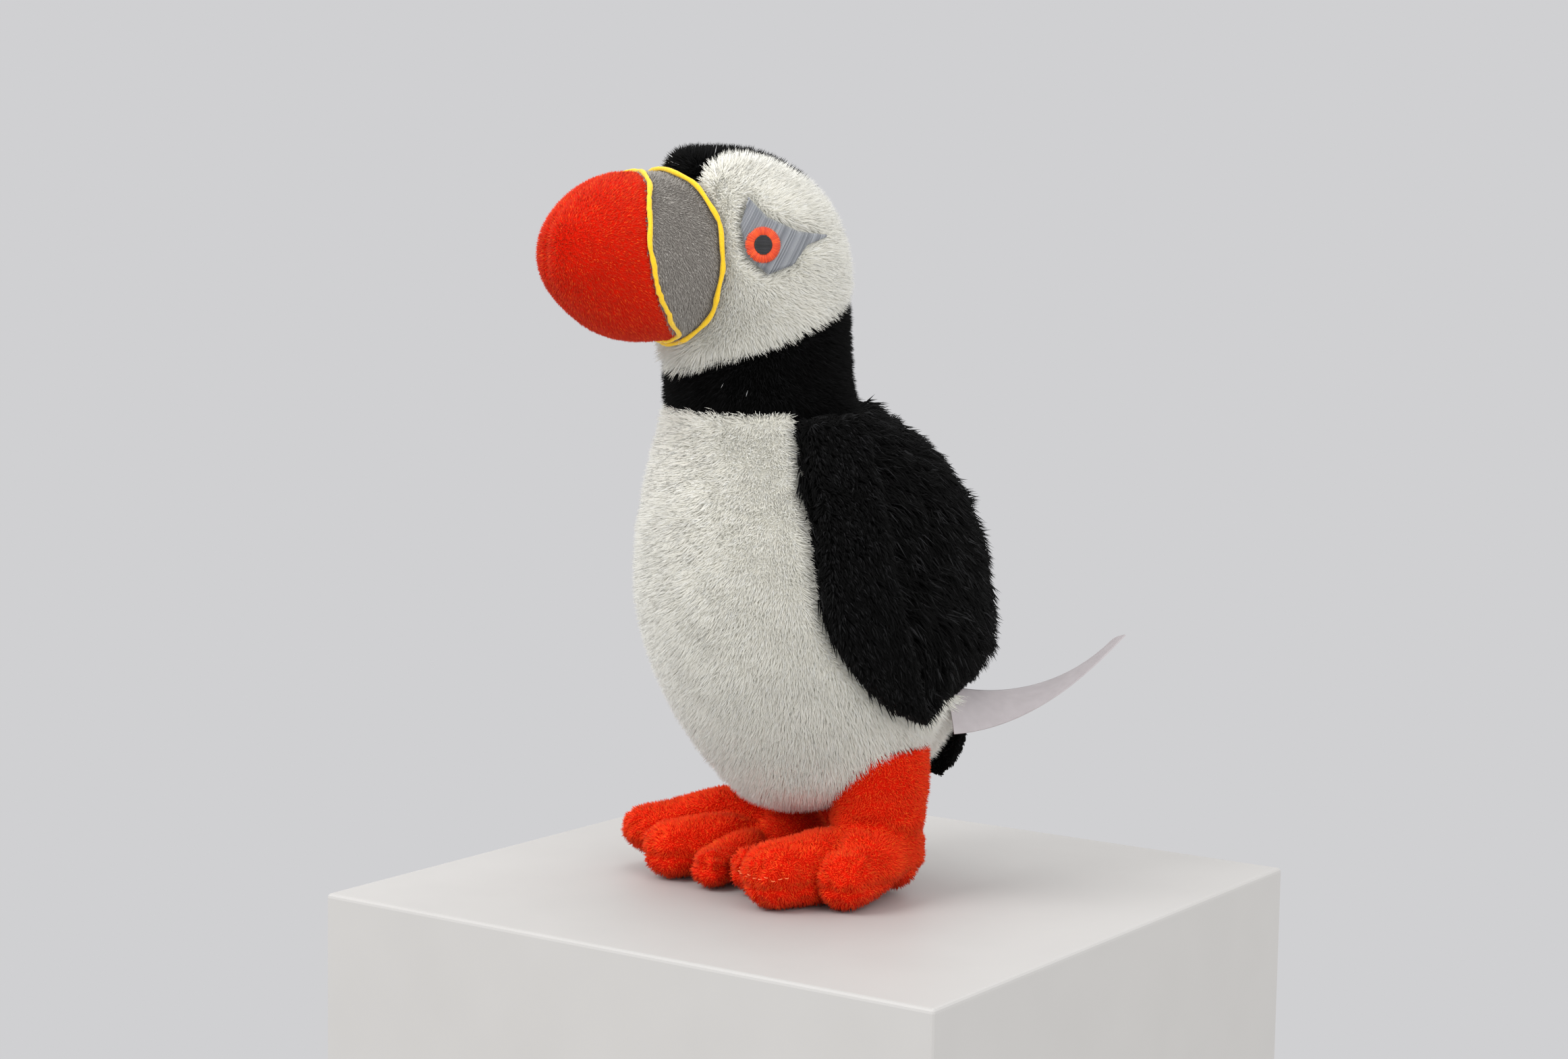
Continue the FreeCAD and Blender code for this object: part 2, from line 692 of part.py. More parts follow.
# Every feature is sound and every piece a valid solid before anything is written.
faults = [obj.Name for obj in doc.Objects if "Invalid" in obj.State or "Error" in obj.State]
for name, piece in pieces.items():
    piece.Label = name
    if piece.Shape.isNull() or not piece.Shape.isValid() or not piece.Shape.Solids:
        faults.append(name)
if faults:
    raise SystemExit("faulty features: " + ", ".join(faults))
for name, piece in pieces.items():
    piece.Shape.exportStep(f"parts/{name}.step")
    print(f"{name:24s} {len(piece.Shape.Solids)} solid  {piece.Shape.Volume / 1000:8.2f} cm3")
box = Part.makeCompound([piece.Shape for piece in pieces.values()]).optimalBoundingBox()
print("box", [round(v, 1) for v in (box.XMin, box.XMax, box.YMin, box.YMax, box.ZMin, box.ZMax)])
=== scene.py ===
import math

import bmesh
import bpy
import numpy as np
from mathutils import Matrix, Vector, kdtree
from mathutils.bvhtree import BVHTree


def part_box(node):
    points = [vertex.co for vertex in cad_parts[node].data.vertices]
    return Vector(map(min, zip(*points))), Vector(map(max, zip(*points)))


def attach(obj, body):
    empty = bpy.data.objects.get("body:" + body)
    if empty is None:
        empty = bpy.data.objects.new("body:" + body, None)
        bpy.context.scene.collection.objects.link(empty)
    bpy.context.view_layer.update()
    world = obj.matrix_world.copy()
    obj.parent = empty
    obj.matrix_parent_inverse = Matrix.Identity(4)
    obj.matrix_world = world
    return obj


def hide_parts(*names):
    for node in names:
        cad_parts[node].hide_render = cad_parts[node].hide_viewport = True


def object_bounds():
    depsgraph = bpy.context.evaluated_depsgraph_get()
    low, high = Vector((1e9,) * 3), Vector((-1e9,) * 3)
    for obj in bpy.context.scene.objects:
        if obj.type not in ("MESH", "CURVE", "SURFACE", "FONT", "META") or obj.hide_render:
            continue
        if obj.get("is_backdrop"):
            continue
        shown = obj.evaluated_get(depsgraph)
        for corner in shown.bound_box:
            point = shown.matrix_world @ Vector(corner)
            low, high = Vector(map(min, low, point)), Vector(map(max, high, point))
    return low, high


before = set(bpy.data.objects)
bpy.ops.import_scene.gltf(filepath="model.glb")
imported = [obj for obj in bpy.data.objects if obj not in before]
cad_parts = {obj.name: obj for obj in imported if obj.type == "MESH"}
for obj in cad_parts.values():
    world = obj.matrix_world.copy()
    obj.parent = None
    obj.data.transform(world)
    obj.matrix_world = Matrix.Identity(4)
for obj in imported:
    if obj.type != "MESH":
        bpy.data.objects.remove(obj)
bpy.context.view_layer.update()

bpy.ops.object.select_all(action="DESELECT")
MM = 0.001
SIDES = {"left": 1, "right": -1}

# Head and body: one bag of loose fibre under the skin. The cloth is cut in panels, and each seam
# holds it in while the filling pushes it out. It is made from the filling's own form, blown up
# against its seams as cloth.


def node_mesh(*names):
    """Vertices and triangles of CAD nodes, and for each triangle the name of its node."""
    points, corners, owners, start = [], [], [], 0
    for name in names:
        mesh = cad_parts[name].data
        mesh.calc_loop_triangles()
        co = np.empty(len(mesh.vertices) * 3)
        mesh.vertices.foreach_get("co", co)
        triangles = np.empty(len(mesh.loop_triangles) * 3, np.int32)
        mesh.loop_triangles.foreach_get("vertices", triangles)
        points.append(co.reshape(-1, 3))
        corners.append(triangles.reshape(-1, 3) + start)
        owners += [name] * len(mesh.loop_triangles)
        start += len(mesh.vertices)
    return np.concatenate(points), np.concatenate(corners), owners


def mesh_object(name, points, faces):
    mesh = bpy.data.meshes.new(name)
    mesh.from_pydata(points.tolist(), [], faces.tolist())
    obj = bpy.data.objects.new(name, mesh)
    bpy.context.scene.collection.objects.link(obj)
    return obj


def apply_modifier(obj, modifier):
    with bpy.context.temp_override(object=obj, active_object=obj):
        bpy.ops.object.modifier_apply(modifier=modifier.name)


def coordinates(obj):
    co = np.empty(len(obj.data.vertices) * 3)
    obj.data.vertices.foreach_get("co", co)
    return co.reshape(-1, 3)


def set_coordinates(obj, co):
    obj.data.vertices.foreach_set("co", np.ascontiguousarray(co, np.float64).ravel())
    obj.data.update()


def vertex_normals(obj):
    normals = np.empty(len(obj.data.vertices) * 3, np.float32)
    obj.data.vertex_normals.foreach_get("vector", normals)
    return normals.reshape(-1, 3).astype(float)


def node_tree(*names):
    """The surface of CAD nodes, to be searched, and for each triangle the name of its node."""
    points, corners, owners = node_mesh(*names)
    return BVHTree.FromPolygons(points.tolist(), corners.tolist()), owners


def surface_tree(obj):
    return BVHTree.FromObject(obj, bpy.context.evaluated_depsgraph_get())


def points_tree(points):
    tree = kdtree.KDTree(len(points))
    for index, point in enumerate(np.asarray(points).tolist()):
        tree.insert(point, index)
    tree.balance()
    return tree


def panel_finder(*names):
    """Which CAD node lies nearest to each of some points."""
    tree, owners = node_tree(*names)
    return lambda places: np.array([owners[tree.find_nearest(p)[2]] for p in places.tolist()])


def face_centres(obj):
    centres = np.empty(len(obj.data.polygons) * 3, np.float32)
    obj.data.polygons.foreach_get("center", centres)
    return centres.reshape(-1, 3).astype(float)


def seam_vertices(obj, panels):
    """Vertices where faces of two panels meet."""
    first, seam = {}, set()
    for face, panel in zip(obj.data.polygons, panels):
        for vertex in face.vertices:
            if first.setdefault(vertex, panel) != panel:
                seam.add(vertex)
    return sorted(seam)


def keep_largest_island(bm):
    """Deletes every loose island of a mesh apart from the one with the most vertices."""
    islands, seen = [], set()
    for seed in bm.verts:
        if seed in seen:
            continue
        seen.add(seed)
        island, front = [], [seed]
        while front:
            vertex = front.pop()
            island.append(vertex)
            for edge in vertex.link_edges:
                other = edge.other_vert(vertex)
                if other not in seen:
                    seen.add(other)
                    front.append(other)
        islands.append(island)
    islands.sort(key=len)
    bmesh.ops.delete(bm, geom=[v for island in islands[:-1] for v in island], context="VERTS")


def blow_up(obj, seam, cap, frames=20):
    """Fills a form with pressure as cloth. The seam's vertices stay, and none moves further than cap mm."""
    obj.vertex_groups.new(name="seams").add(seam, 1.0, "REPLACE")
    cloth = obj.modifiers.new("cloth", "CLOTH")
    cloth.settings.quality = 4
    cloth.settings.use_pressure = True
    cloth.settings.uniform_pressure_force = 4
    cloth.settings.effector_weights.gravity = 0
    cloth.settings.vertex_group_mass = "seams"
    cloth.settings.tension_stiffness = 12
    cloth.settings.compression_stiffness = 12
    cloth.point_cache.frame_end = frames
    for number in range(1, frames + 1):
        bpy.context.scene.frame_set(number)
    blown = coordinates(obj.evaluated_get(bpy.context.evaluated_depsgraph_get()))
    rest = coordinates(obj)
    move = blown - rest
    far = np.linalg.norm(move, axis=1, keepdims=True)
    obj.modifiers.remove(cloth)
    set_coordinates(obj, rest + move * np.minimum(1, cap * MM / np.maximum(far, 1e-9)))
    bpy.context.scene.frame_set(1)
    obj.vertex_groups.clear()


def stuffed_form(name, nodes, panel_nodes, voxel, shrink, cap, levels=1):
    """Some CAD nodes, or a mesh, as blown-up cloth, held in along the seams of its panels."""
    points, corners = nodes if isinstance(nodes, tuple) else node_mesh(*nodes)[:2]
    obj = mesh_object(name, points, corners)
    remesh = obj.modifiers.new("remesh", "REMESH")
    remesh.mode = "VOXEL"
    remesh.voxel_size = voxel * MM
    apply_modifier(obj, remesh)
    bm = bmesh.new()
    bm.from_mesh(obj.data)
    keep_largest_island(bm)
    bmesh.ops.smooth_vert(bm, verts=bm.verts, factor=0.5, use_axis_x=True, use_axis_y=True, use_axis_z=True)
    bmesh.ops.recalc_face_normals(bm, faces=bm.faces)
    bm.to_mesh(obj.data)
    bm.free()
    set_coordinates(obj, coordinates(obj) - vertex_normals(obj) * shrink * MM)
    find = panel_finder(*panel_nodes)
    blow_up(obj, seam_vertices(obj, find(face_centres(obj))), cap)
    finer = obj.modifiers.new("finer", "SUBSURF")
    finer.levels = finer.render_levels = levels
    apply_modifier(obj, finer)
    obj.data.shade_smooth()
    return obj, find


def press_seams(obj, panels, depth, width):
    """Presses the surface in along the seams of its panels: depth and width in mm."""
    co = coordinates(obj)
    tree = points_tree(co[seam_vertices(obj, panels)])
    far = np.array([tree.find(p)[2] for p in co.tolist()]) / MM
    set_coordinates(obj, co - vertex_normals(obj) * (depth * MM * np.exp(-((far / width) ** 2)))[:, None])


HEAD_PANELS = ["crown_panel", "face_panel_left", "face_panel_right"]
EYE_NODES = [f"eye_{part}_{side}" for side in SIDES for part in ("patch", "ring", "pupil")]
BODY_PANELS = ["neck_collar", "back_panel", "rump_panel", "belly_panel_left", "belly_panel_right"]
bird, bird_panel_at = stuffed_form(
    "stuffed_bird",
    ["head_stuffing", "body_stuffing", "pellet_bag"],
    HEAD_PANELS + EYE_NODES + BODY_PANELS,
    voxel=4,
    shrink=0.6,
    cap=2.2,
    levels=2,
)
bird_panels = bird_panel_at(face_centres(bird))

# The crown narrows towards the beak, where the cheeks reach further up, and runs down the nape to
# the collar at its full width. The neck's upright axis lies a little ahead of the origin.
NECK_AXIS = -18.5 * MM
CROWN_HALF_WIDTH, BROW_HALF_WIDTH = 11.5, 9.2
side_of, behind, above = face_centres(bird).T / MM
crown_edge = np.clip(CROWN_HALF_WIDTH + (behind + 11) * 0.17, BROW_HALF_WIDTH, CROWN_HALF_WIDTH)
brow = (bird_panels == "crown_panel") & (np.abs(side_of) > crown_edge)
bird_panels[brow] = np.where(side_of[brow] > 0, "face_panel_left", "face_panel_right")
nape = np.char.startswith(bird_panels, "face") & (behind > NECK_AXIS / MM - 1.5) & (above > 120)
bird_panels[nape & (np.abs(side_of) < CROWN_HALF_WIDTH)] = "crown_panel"

# Under the beak the filling bulges out in a small chin.
CHIN_SIZE, CHIN_BULGE = 7 * MM, 2.6 * MM
piping_low, piping_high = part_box("beak_rear_piping")
chin = np.array((*((piping_low + piping_high) / 2)[:2], piping_low.z - 3 * MM))
near_chin = np.exp(-((np.linalg.norm(coordinates(bird) - chin, axis=1) / CHIN_SIZE) ** 2))
set_coordinates(bird, coordinates(bird) + vertex_normals(bird) * (CHIN_BULGE * near_chin)[:, None])
embroidered = np.char.startswith(bird_panels, "eye_")
cloths = np.array([p.split("_")[0] if p.startswith(("belly", "face")) else p for p in bird_panels])
press_seams(bird, np.where(embroidered, "face", cloths), 0.7, 2.2)
press_seams(bird, np.where(embroidered, "face_panel", bird_panels), 0.25, 1.6)
press_seams(bird, np.where(embroidered, "eye", "cloth"), 0.7, 2.4)

BLACK_PANELS = {"crown_panel", "neck_collar", "back_panel"}


def dye(obj, colours):
    """A colour for every face, kept as an attribute."""
    attribute = obj.data.color_attributes.new("dye", "FLOAT_COLOR", "CORNER")
    count = np.empty(len(obj.data.polygons), np.int32)
    obj.data.polygons.foreach_get("loop_total", count)
    spread = np.repeat(np.column_stack([colours, np.ones(len(colours))]), count, axis=0)
    attribute.data.foreach_set("color", spread.ravel())


def finish(name):
    """A new material, its shader, and a function that adds a node and sets or links its inputs."""
    material = bpy.data.materials.new(name)
    material.use_nodes = True
    tree = material.node_tree
    tree.nodes.clear()
    output = tree.nodes.new("ShaderNodeOutputMaterial")
    shader = tree.nodes.new("ShaderNodeBsdfPrincipled")
    tree.links.new(shader.outputs["BSDF"], output.inputs["Surface"])

    def add(kind, inputs=None, **settings):
        node = tree.nodes.new("ShaderNode" + kind)
        for key, value in settings.items():
            setattr(node, key, value)
        for key, value in (inputs or {}).items():
            if isinstance(value, bpy.types.NodeSocket):
                tree.links.new(value, node.inputs[key])
            else:
                node.inputs[key].default_value = value
        return node

    return material, shader, add


def srgb(red, green, blue):
    """A colour given as 0 to 255 in sRGB, made linear."""
    out = [c / 255 / 12.92 if c <= 10.3 else ((c / 255 + 0.055) / 1.055) ** 2.4 for c in (red, green, blue)]
    return (*out, 1.0)


def link(socket, shader, name):
    shader.id_data.links.new(socket, shader.inputs[name])


def mixed(add, kind, factor, first, second):
    node = add("Mix", data_type="RGBA", blend_type=kind)
    for key, value in ((0, factor), (6, first), (7, second)):
        if isinstance(value, bpy.types.NodeSocket):
            node.id_data.links.new(value, node.inputs[key])
        else:
            node.inputs[key].default_value = value
    return node.outputs[2]


def backing_cloth():
    """Knitted backing that the pile stands on, seen only in its partings."""
    material, shader, add = finish("backing cloth")
    colour = add("Attribute", attribute_name="dye").outputs["Color"]
    place = add("TexCoord").outputs["Object"]
    rows = add("TexNoise", {"Vector": place, "Scale": 900.0, "Detail": 2.0})
    link(mixed(add, "MULTIPLY", 0.25, colour, rows.outputs["Fac"]), shader, "Base Color")
    shader.inputs["Roughness"].default_value = 0.95
    shader.inputs["Specular IOR Level"].default_value = 0.1
    bump = add("Bump", {"Height": rows.outputs["Fac"], "Strength": 0.4, "Distance": 0.0004})
    link(bump.outputs["Normal"], shader, "Normal")
    return material


backing = backing_cloth()
WHITE_CLOTH, BLACK_CLOTH = srgb(250, 249, 242)[:3], srgb(6, 6, 6)[:3]
dye(bird, np.array([BLACK_CLOTH if p in BLACK_PANELS else WHITE_CLOTH for p in bird_panels]))
bird.data.materials.append(backing)
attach(bird, "bird")
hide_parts("head_stuffing", "body_stuffing", "pellet_bag")

# Pile: every panel of plush is thousands of short fibres that stand on the backing, combed one
# way, and gathered in small tufts. The white and black panels of head, neck and body come first.


def tuft_pull(points, size, seed, waves=12):
    """A smooth field that draws fibre ends together at spots about size apart."""
    rng = np.random.default_rng(seed)
    pull = np.zeros_like(points)
    for _ in range(waves):
        way = rng.normal(size=3)
        way /= np.linalg.norm(way)
        turn = 2 * np.pi / (size * MM) * rng.uniform(0.6, 1.5)
        pull += way * np.cos(points @ way * turn + rng.uniform(0, 2 * np.pi))[:, None]
    return pull / math.sqrt(waves)


def unit(vectors):
    return vectors / np.maximum(np.linalg.norm(vectors, axis=1, keepdims=True), 1e-12)


def scatter(obj, wanted, count, seed):
    """Even random places on the wanted faces: points, normals."""
    mesh = obj.data
    mesh.calc_loop_triangles()
    triangles = np.empty(len(mesh.loop_triangles) * 3, np.int32)
    mesh.loop_triangles.foreach_get("vertices", triangles)
    triangles = triangles.reshape(-1, 3)
    owner = np.empty(len(triangles), np.int32)
    mesh.loop_triangles.foreach_get("polygon_index", owner)
    triangles = triangles[wanted[owner]]
    co, normals = coordinates(obj), vertex_normals(obj)
    a, b, c = co[triangles[:, 0]], co[triangles[:, 1]], co[triangles[:, 2]]
    area = np.linalg.norm(np.cross(b - a, c - a), axis=1) / 2
    rng = np.random.default_rng(seed)
    steps = (np.arange(count) + rng.random(count)) / count * area.sum()
    pick = np.minimum(np.searchsorted(np.cumsum(area), steps), len(area) - 1)
    u, v = rng.random(count), rng.random(count)
    over = u + v > 1
    u[over], v[over] = 1 - u[over], 1 - v[over]
    weights = np.stack([1 - u - v, u, v], 1)[:, :, None]
    chosen = triangles[pick]
    return (co[chosen] * weights).sum(1), unit((normals[chosen] * weights).sum(1))


def fibres(name, roots, normals, tips, width, soft, seed, bend=None):
    """One closed three-sided spike from each root to each tip. With bend, its middle is pushed out.

    Soft is how far their shading follows the cloth below them."""
    count = len(roots)
    rng = np.random.default_rng(seed)
    along = unit(tips - roots)
    side = unit(np.cross(along, unit(rng.normal(size=(count, 3)))))
    other = np.cross(along, side)
    rings, shades = [], []
    levels = [(0.0, 1.0)] if bend is None else [(0.0, 0.9), (0.5, 1.0)]
    corners = []
    for share, thick in levels:
        middle = roots + (tips - roots) * share
        if bend is not None and share:
            middle = middle + bend
        for turn in range(3):
            angle = turn * 2 * math.pi / 3
            around = side * math.cos(angle) + other * math.sin(angle)
            rings.append(middle + around * (width * MM * thick)[:, None])
            corners.append(unit(around * (1 - soft) + normals * soft))
            shades.append(np.full(count, share))
    rings.append(tips)
    corners.append(unit(along * (1 - soft) + normals * soft))
    shades.append(np.ones(count))
    per = len(rings)
    points = np.stack(rings, 1).reshape(-1, 3)
    points[:, 2] = np.maximum(points[:, 2], 0.0001)
    directions = np.stack(corners, 1).reshape(-1, 3)
    shade = np.stack(shades, 1).ravel()
    shape = [(2, 1, 0)]
    if bend is not None:
        for turn in range(3):
            after = (turn + 1) % 3
            shape += [(turn, after, 3 + after), (turn, 3 + after, 3 + turn)]
    top = 0 if bend is None else 3
    shape += [(top + turn, top + (turn + 1) % 3, per - 1) for turn in range(3)]
    faces = (np.array(shape)[None] + (np.arange(count) * per)[:, None, None]).reshape(-1, 3)
    mesh = bpy.data.meshes.new(name)
    mesh.vertices.add(len(points))
    mesh.vertices.foreach_set("co", points.ravel())
    mesh.loops.add(len(faces) * 3)
    mesh.loops.foreach_set("vertex_index", faces.ravel().astype(np.int32))
    mesh.polygons.add(len(faces))
    mesh.polygons.foreach_set("loop_start", np.arange(len(faces), dtype=np.int32) * 3)
    mesh.update(calc_edges=True)
    grid = math.ceil(math.sqrt(count))
    cell = np.stack([np.arange(count) % grid, np.arange(count) // grid], 1) / grid
    spots = np.array([(0.15, 0.15), (0.15, 0.85), (0.85, 0.5)]) / grid
    # Each fibre has a small cell of its own on the map.
    uv = cell[:, None, None] + np.broadcast_to(spots, (count, len(shape), 3, 2))
    layer = mesh.uv_layers.new(name="OFBake")
    layer.uv.foreach_set("vector", uv.ravel())
    for label, values in (("along", shade), ("chance", np.repeat(rng.random(count), per))):
        attribute = mesh.attributes.new(label, "FLOAT", "POINT")
        attribute.data.foreach_set("value", values)
    mesh.shade_smooth()
    mesh.normals_split_custom_set_from_vertices(directions.tolist())
    obj = bpy.data.objects.new(name, mesh)
    bpy.context.scene.collection.objects.link(obj)
    return obj


def pile_material(name, root, tip, odd, spread=0.25, sheen=0.35, lint=None, gloss=0.25):
    """Fibres dark at the root, a painted shade deep in the pile, and clear at the tip, with a few odd ones
    and soft wider patches.

    Lint is the share of them that is pale fluff."""
    material, shader, add = finish(name)
    height = add("Attribute", attribute_name="along").outputs["Fac"]
    chance = add("Attribute", attribute_name="chance").outputs["Fac"]
    # Painted shade: each fibre runs from its darker root colour to its tip colour, darker low down where the
    # pile shades itself.
    colour = mixed(add, "MIX", height, root, tip)
    few = add("MapRange", {"Value": chance, "From Min": 1 - spread, "From Max": 1.0}).outputs["Result"]
    colour = mixed(add, "MIX", few, colour, odd)
    place = add("TexCoord").outputs["Object"]
    cloud = add("TexNoise", {"Vector": place, "Scale": 60.0, "Detail": 3.0}).outputs["Fac"]
    patches = {"Value": cloud, "From Min": 0.3, "From Max": 0.7, "To Min": 0.93, "To Max": 1.03}
    colour = mixed(add, "MULTIPLY", 1.0, colour, add("MapRange", patches).outputs["Result"])
    if lint:
        pale = add("Math", {0: chance, 1: lint}, operation="LESS_THAN").outputs["Value"]
        colour = mixed(add, "MIX", pale, colour, srgb(190, 190, 190))
    link(colour, shader, "Base Color")
    shader.inputs["Roughness"].default_value = 0.85
    shader.inputs["Specular IOR Level"].default_value = gloss
    shader.inputs["Sheen Weight"].default_value = sheen
    shader.inputs["Sheen Roughness"].default_value = 0.6
    return material


def combed(points, normals, comb, lean, stray, size, seed):
    """Directions of fibres: they lean towards comb, and wander over the given size."""
    sway = tuft_pull(points, size, seed)
    rng = np.random.default_rng(seed + 1)
    way = comb + sway * stray * 0.6 + rng.normal(size=points.shape) * stray * 0.6
    flat = way - (way * normals).sum(1, keepdims=True) * normals
    length = np.linalg.norm(flat, axis=1, keepdims=True)
    flat = flat / np.maximum(length, 1e-9) * np.minimum(length, 1.4)
    return unit(normals * math.cos(lean) + flat * math.sin(lean))


def leaning_over(points, seam, reach, strength):
    """Near a seam the fibres fan out over it: the lean added to that of the comb."""
    near = np.array([seam.find(p)[0] for p in points.tolist()])
    far = np.linalg.norm(near - points, axis=1, keepdims=True)
    return unit(near - points) * strength * np.clip(1.15 - far / (reach * MM), 0, 1)


MOST_FIBRES = 49900  # of straight ones in a piece, so that it stays under 200,000 triangles


def short_pile(name, obj, wanted, density, length, width, comb, lean, stray, gather, gather_size, seed,
               skip=None, seam=None, longer=None):
    """Plush of straight fibres: density per square mm, the rest in mm and the lean in radians."""
    areas = np.empty(len(obj.data.polygons), np.float32)
    obj.data.polygons.foreach_get("area", areas)
    count = min(int(areas[wanted].sum() / MM**2 * density), MOST_FIBRES)
    points, normals = scatter(obj, wanted, count, seed)
    if skip is not None:
        keep = ~skip(points)
        points, normals = points[keep], normals[keep]
    comb = np.array(comb, float)
    if seam is not None:
        comb = comb + leaning_over(points, seam, length * 1.2, 0.7)
    direction = combed(points, normals, comb, lean, stray, 11, seed + 2)
    rng = np.random.default_rng(seed + 3)
    reach = length * rng.uniform(0.7, 1.14, len(points))
    if longer is not None:
        reach *= longer(points)
    ends = points + direction * (reach * MM)[:, None]
    ends += tuft_pull(points, gather_size, seed + 4) * gather * MM
    widths = width * rng.uniform(0.8, 1.2, len(points))
    return fibres(name, points - normals * 0.3 * MM, normals, ends, widths, soft=0.8, seed=seed + 5)


white_pile = pile_material("white plush", srgb(236, 233, 220), srgb(252, 250, 240), srgb(255, 255, 250))
black_pile = pile_material(
    "black plush", srgb(3, 3, 3), srgb(9, 9, 9), srgb(26, 26, 27), sheen=0.01, lint=0.0012, gloss=0.08)
leg_points = np.concatenate([node_mesh(f"leg_{side}")[0] for side in SIDES])
bird_tree = surface_tree(bird)
leg_ring = np.array([p for p in leg_points.tolist() if bird_tree.find_nearest(p)[3] < 1.8 * MM])
cloth_edges = coordinates(bird)[seam_vertices(bird, np.where(embroidered, "eye", cloths))]
seam_tree = points_tree(np.concatenate([cloth_edges, node_mesh("beak_rear_piping")[0], leg_ring]))

BEAK_PANELS = ["beak_tip_left", "beak_tip_right", "beak_band_left", "beak_band_right"]
beak_tree, _ = node_tree("beak_stuffing", *BEAK_PANELS)


def under_beak(points):
    """Which points lie behind the beak, where there is no pile."""
    hidden = []
    for point in points.tolist():
        place, normal, _, _ = beak_tree.find_nearest(point)
        hidden.append((Vector(point) - place).dot(normal) < -1.2 * MM)
    return np.array(hidden)


def chin_tuft(points):
    """Under the beak the white pile is left longer."""
    return 1 + 1.1 * np.exp(-((np.linalg.norm(points - chin, axis=1) / (9 * MM)) ** 2))


PLUSH = {  # finish, fibres per square mm, their length in mm, the way they are combed, slot
    "belly_panel_left": (white_pile, 5.6, 3.4, (0, 0, -0.7), "white_pile"),
    "belly_panel_right": (white_pile, 5.6, 3.4, (0, 0, -0.7), "white_pile"),
    "rump_panel": (white_pile, 4.6, 4.6, (0, 0.3, -0.4), "white_pile"),
    "face_panel_left": (white_pile, 7, 3.4, (0.1, 0.4, -0.5), "white_pile"),
    "face_panel_right": (white_pile, 7, 3.4, (-0.1, 0.4, -0.5), "white_pile"),
    "crown_panel": (black_pile, 5.6, 3.0, (0, 0.35, -0.8), "black_pile"),
    "neck_collar": (black_pile, 5.8, 3.1, (0, 0.1, -0.8), "black_pile"),
}
for number, (node, (material, density, length, comb, slot)) in enumerate(PLUSH.items()):
    fanned = node.startswith(("belly", "face"))
    piece = short_pile(
        f"{node}_pile", bird, bird_panels == node, density, length, 0.22, comb, lean=0.5, stray=0.45,
        gather=0.36, gather_size=2.6, seed=20 + 10 * number, skip=under_beak if node in HEAD_PANELS else None,
        seam=seam_tree if fanned else None, longer=chin_tuft if "face" in node else None)
    piece.data.materials.append(material)
    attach(piece, "bird")
    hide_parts(node)

# Back: the same backing with a long shaggy pile. Its fibres are bent, and fall in locks that end
# together. It is shorter where the back panel meets the rump.


def long_pile(name, obj, wanted, count, length, width, comb, lean, locks, stray, seed, hold=0.55,
              longer=None):
    """Shaggy pile of bent fibres. Those of one lock are drawn to the same place, as far as hold says."""
    sag = 0.25
    points, normals = scatter(obj, wanted, count, seed)
    seats, seat_normals = scatter(obj, wanted, locks, seed + 1)
    rng = np.random.default_rng(seed + 2)
    lock_way = combed(seats, seat_normals, np.array(comb, float), lean, stray, 22, seed + 3)
    lock_reach = length * rng.uniform(0.75, 1.3, locks)
    tree = points_tree(seats)
    own = np.array([tree.find(p)[1] for p in points.tolist()])
    direction = combed(points, normals, np.array(comb, float), lean, stray, 22, seed + 3)
    reach = length * rng.uniform(0.6, 1.15, count)
    if longer is not None:
        reach *= longer(points)
        lock_reach *= longer(seats)
    lock_end = seats + lock_way * (lock_reach * MM)[:, None]
    if longer is None:
        lock_end[:, 2] -= lock_reach * sag * MM
    free = points + direction * (reach * MM)[:, None]
    free[:, 2] -= reach * sag * MM
    pull = (hold * rng.uniform(0.5, 1.2, count))[:, None]
    ends = free * (1 - pull) + lock_end[own] * pull
    middle = points + normals * (reach * 0.5 * MM)[:, None] * 0.9 + (ends - points) * 0.35
    bend = middle - (points + (ends - points) * 0.5)
    widths = width * rng.uniform(0.75, 1.25, count)
    roots = points - normals * 0.4 * MM
    return fibres(name, roots, normals, ends, widths, bend=bend * 0.6, soft=0.45, seed=seed + 5)


long_black = pile_material(
    "long black plush", srgb(2, 2, 2), srgb(9, 9, 9), srgb(44, 44, 45), spread=0.2, sheen=0.01, gloss=0.08)
wing_black = pile_material(
    "wing plush", srgb(2, 2, 2), srgb(8, 8, 8), srgb(34, 34, 35), sheen=0.01, gloss=0.08)
across_bird = face_centres(bird)[:, 0]
rump_edge = points_tree(coordinates(bird)[seam_vertices(bird, bird_panels == "rump_panel")])


def shorter_at_the_rump(points):
    """The pile reaches its full length 16 mm above the rump's seam."""
    return np.clip([rump_edge.find(p)[2] / (16 * MM) for p in points.tolist()], 0.22, 1)


for number, (side, sign) in enumerate(SIDES.items()):
    wanted = (bird_panels == "back_panel") & (across_bird * sign >= 0)
    piece = long_pile(f"back_panel_pile_{side}", bird, wanted, 16200, 9.0, 0.25, (sign * 0.15, 0.35, -0.8),
                      lean=0.75, locks=520, stray=0.7, longer=shorter_at_the_rump, seed=120 + 20 * number)
    piece.data.materials.append(long_black)
    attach(piece, "bird")
    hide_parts("back_panel")

# Beak: two orange halves of short-nap cloth with a middle seam, and a grey band behind them,
# stuffed hard so that it is round and smooth.
beak, beak_panel_at = stuffed_form(
    "stuffed_beak", ["beak_stuffing"], BEAK_PANELS, voxel=2, shrink=0.2, cap=0.9)
beak_panels = beak_panel_at(face_centres(beak))
press_seams(beak, beak_panels, 0.5, 0.9)
ORANGE_CLOTH, GREY_CLOTH = srgb(214, 24, 0)[:3], srgb(120, 115, 110)[:3]
dye(beak, np.array([GREY_CLOTH if "band" in p else ORANGE_CLOTH for p in beak_panels]))
beak.data.materials.append(backing)
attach(beak, "bird")
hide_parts("beak_stuffing")

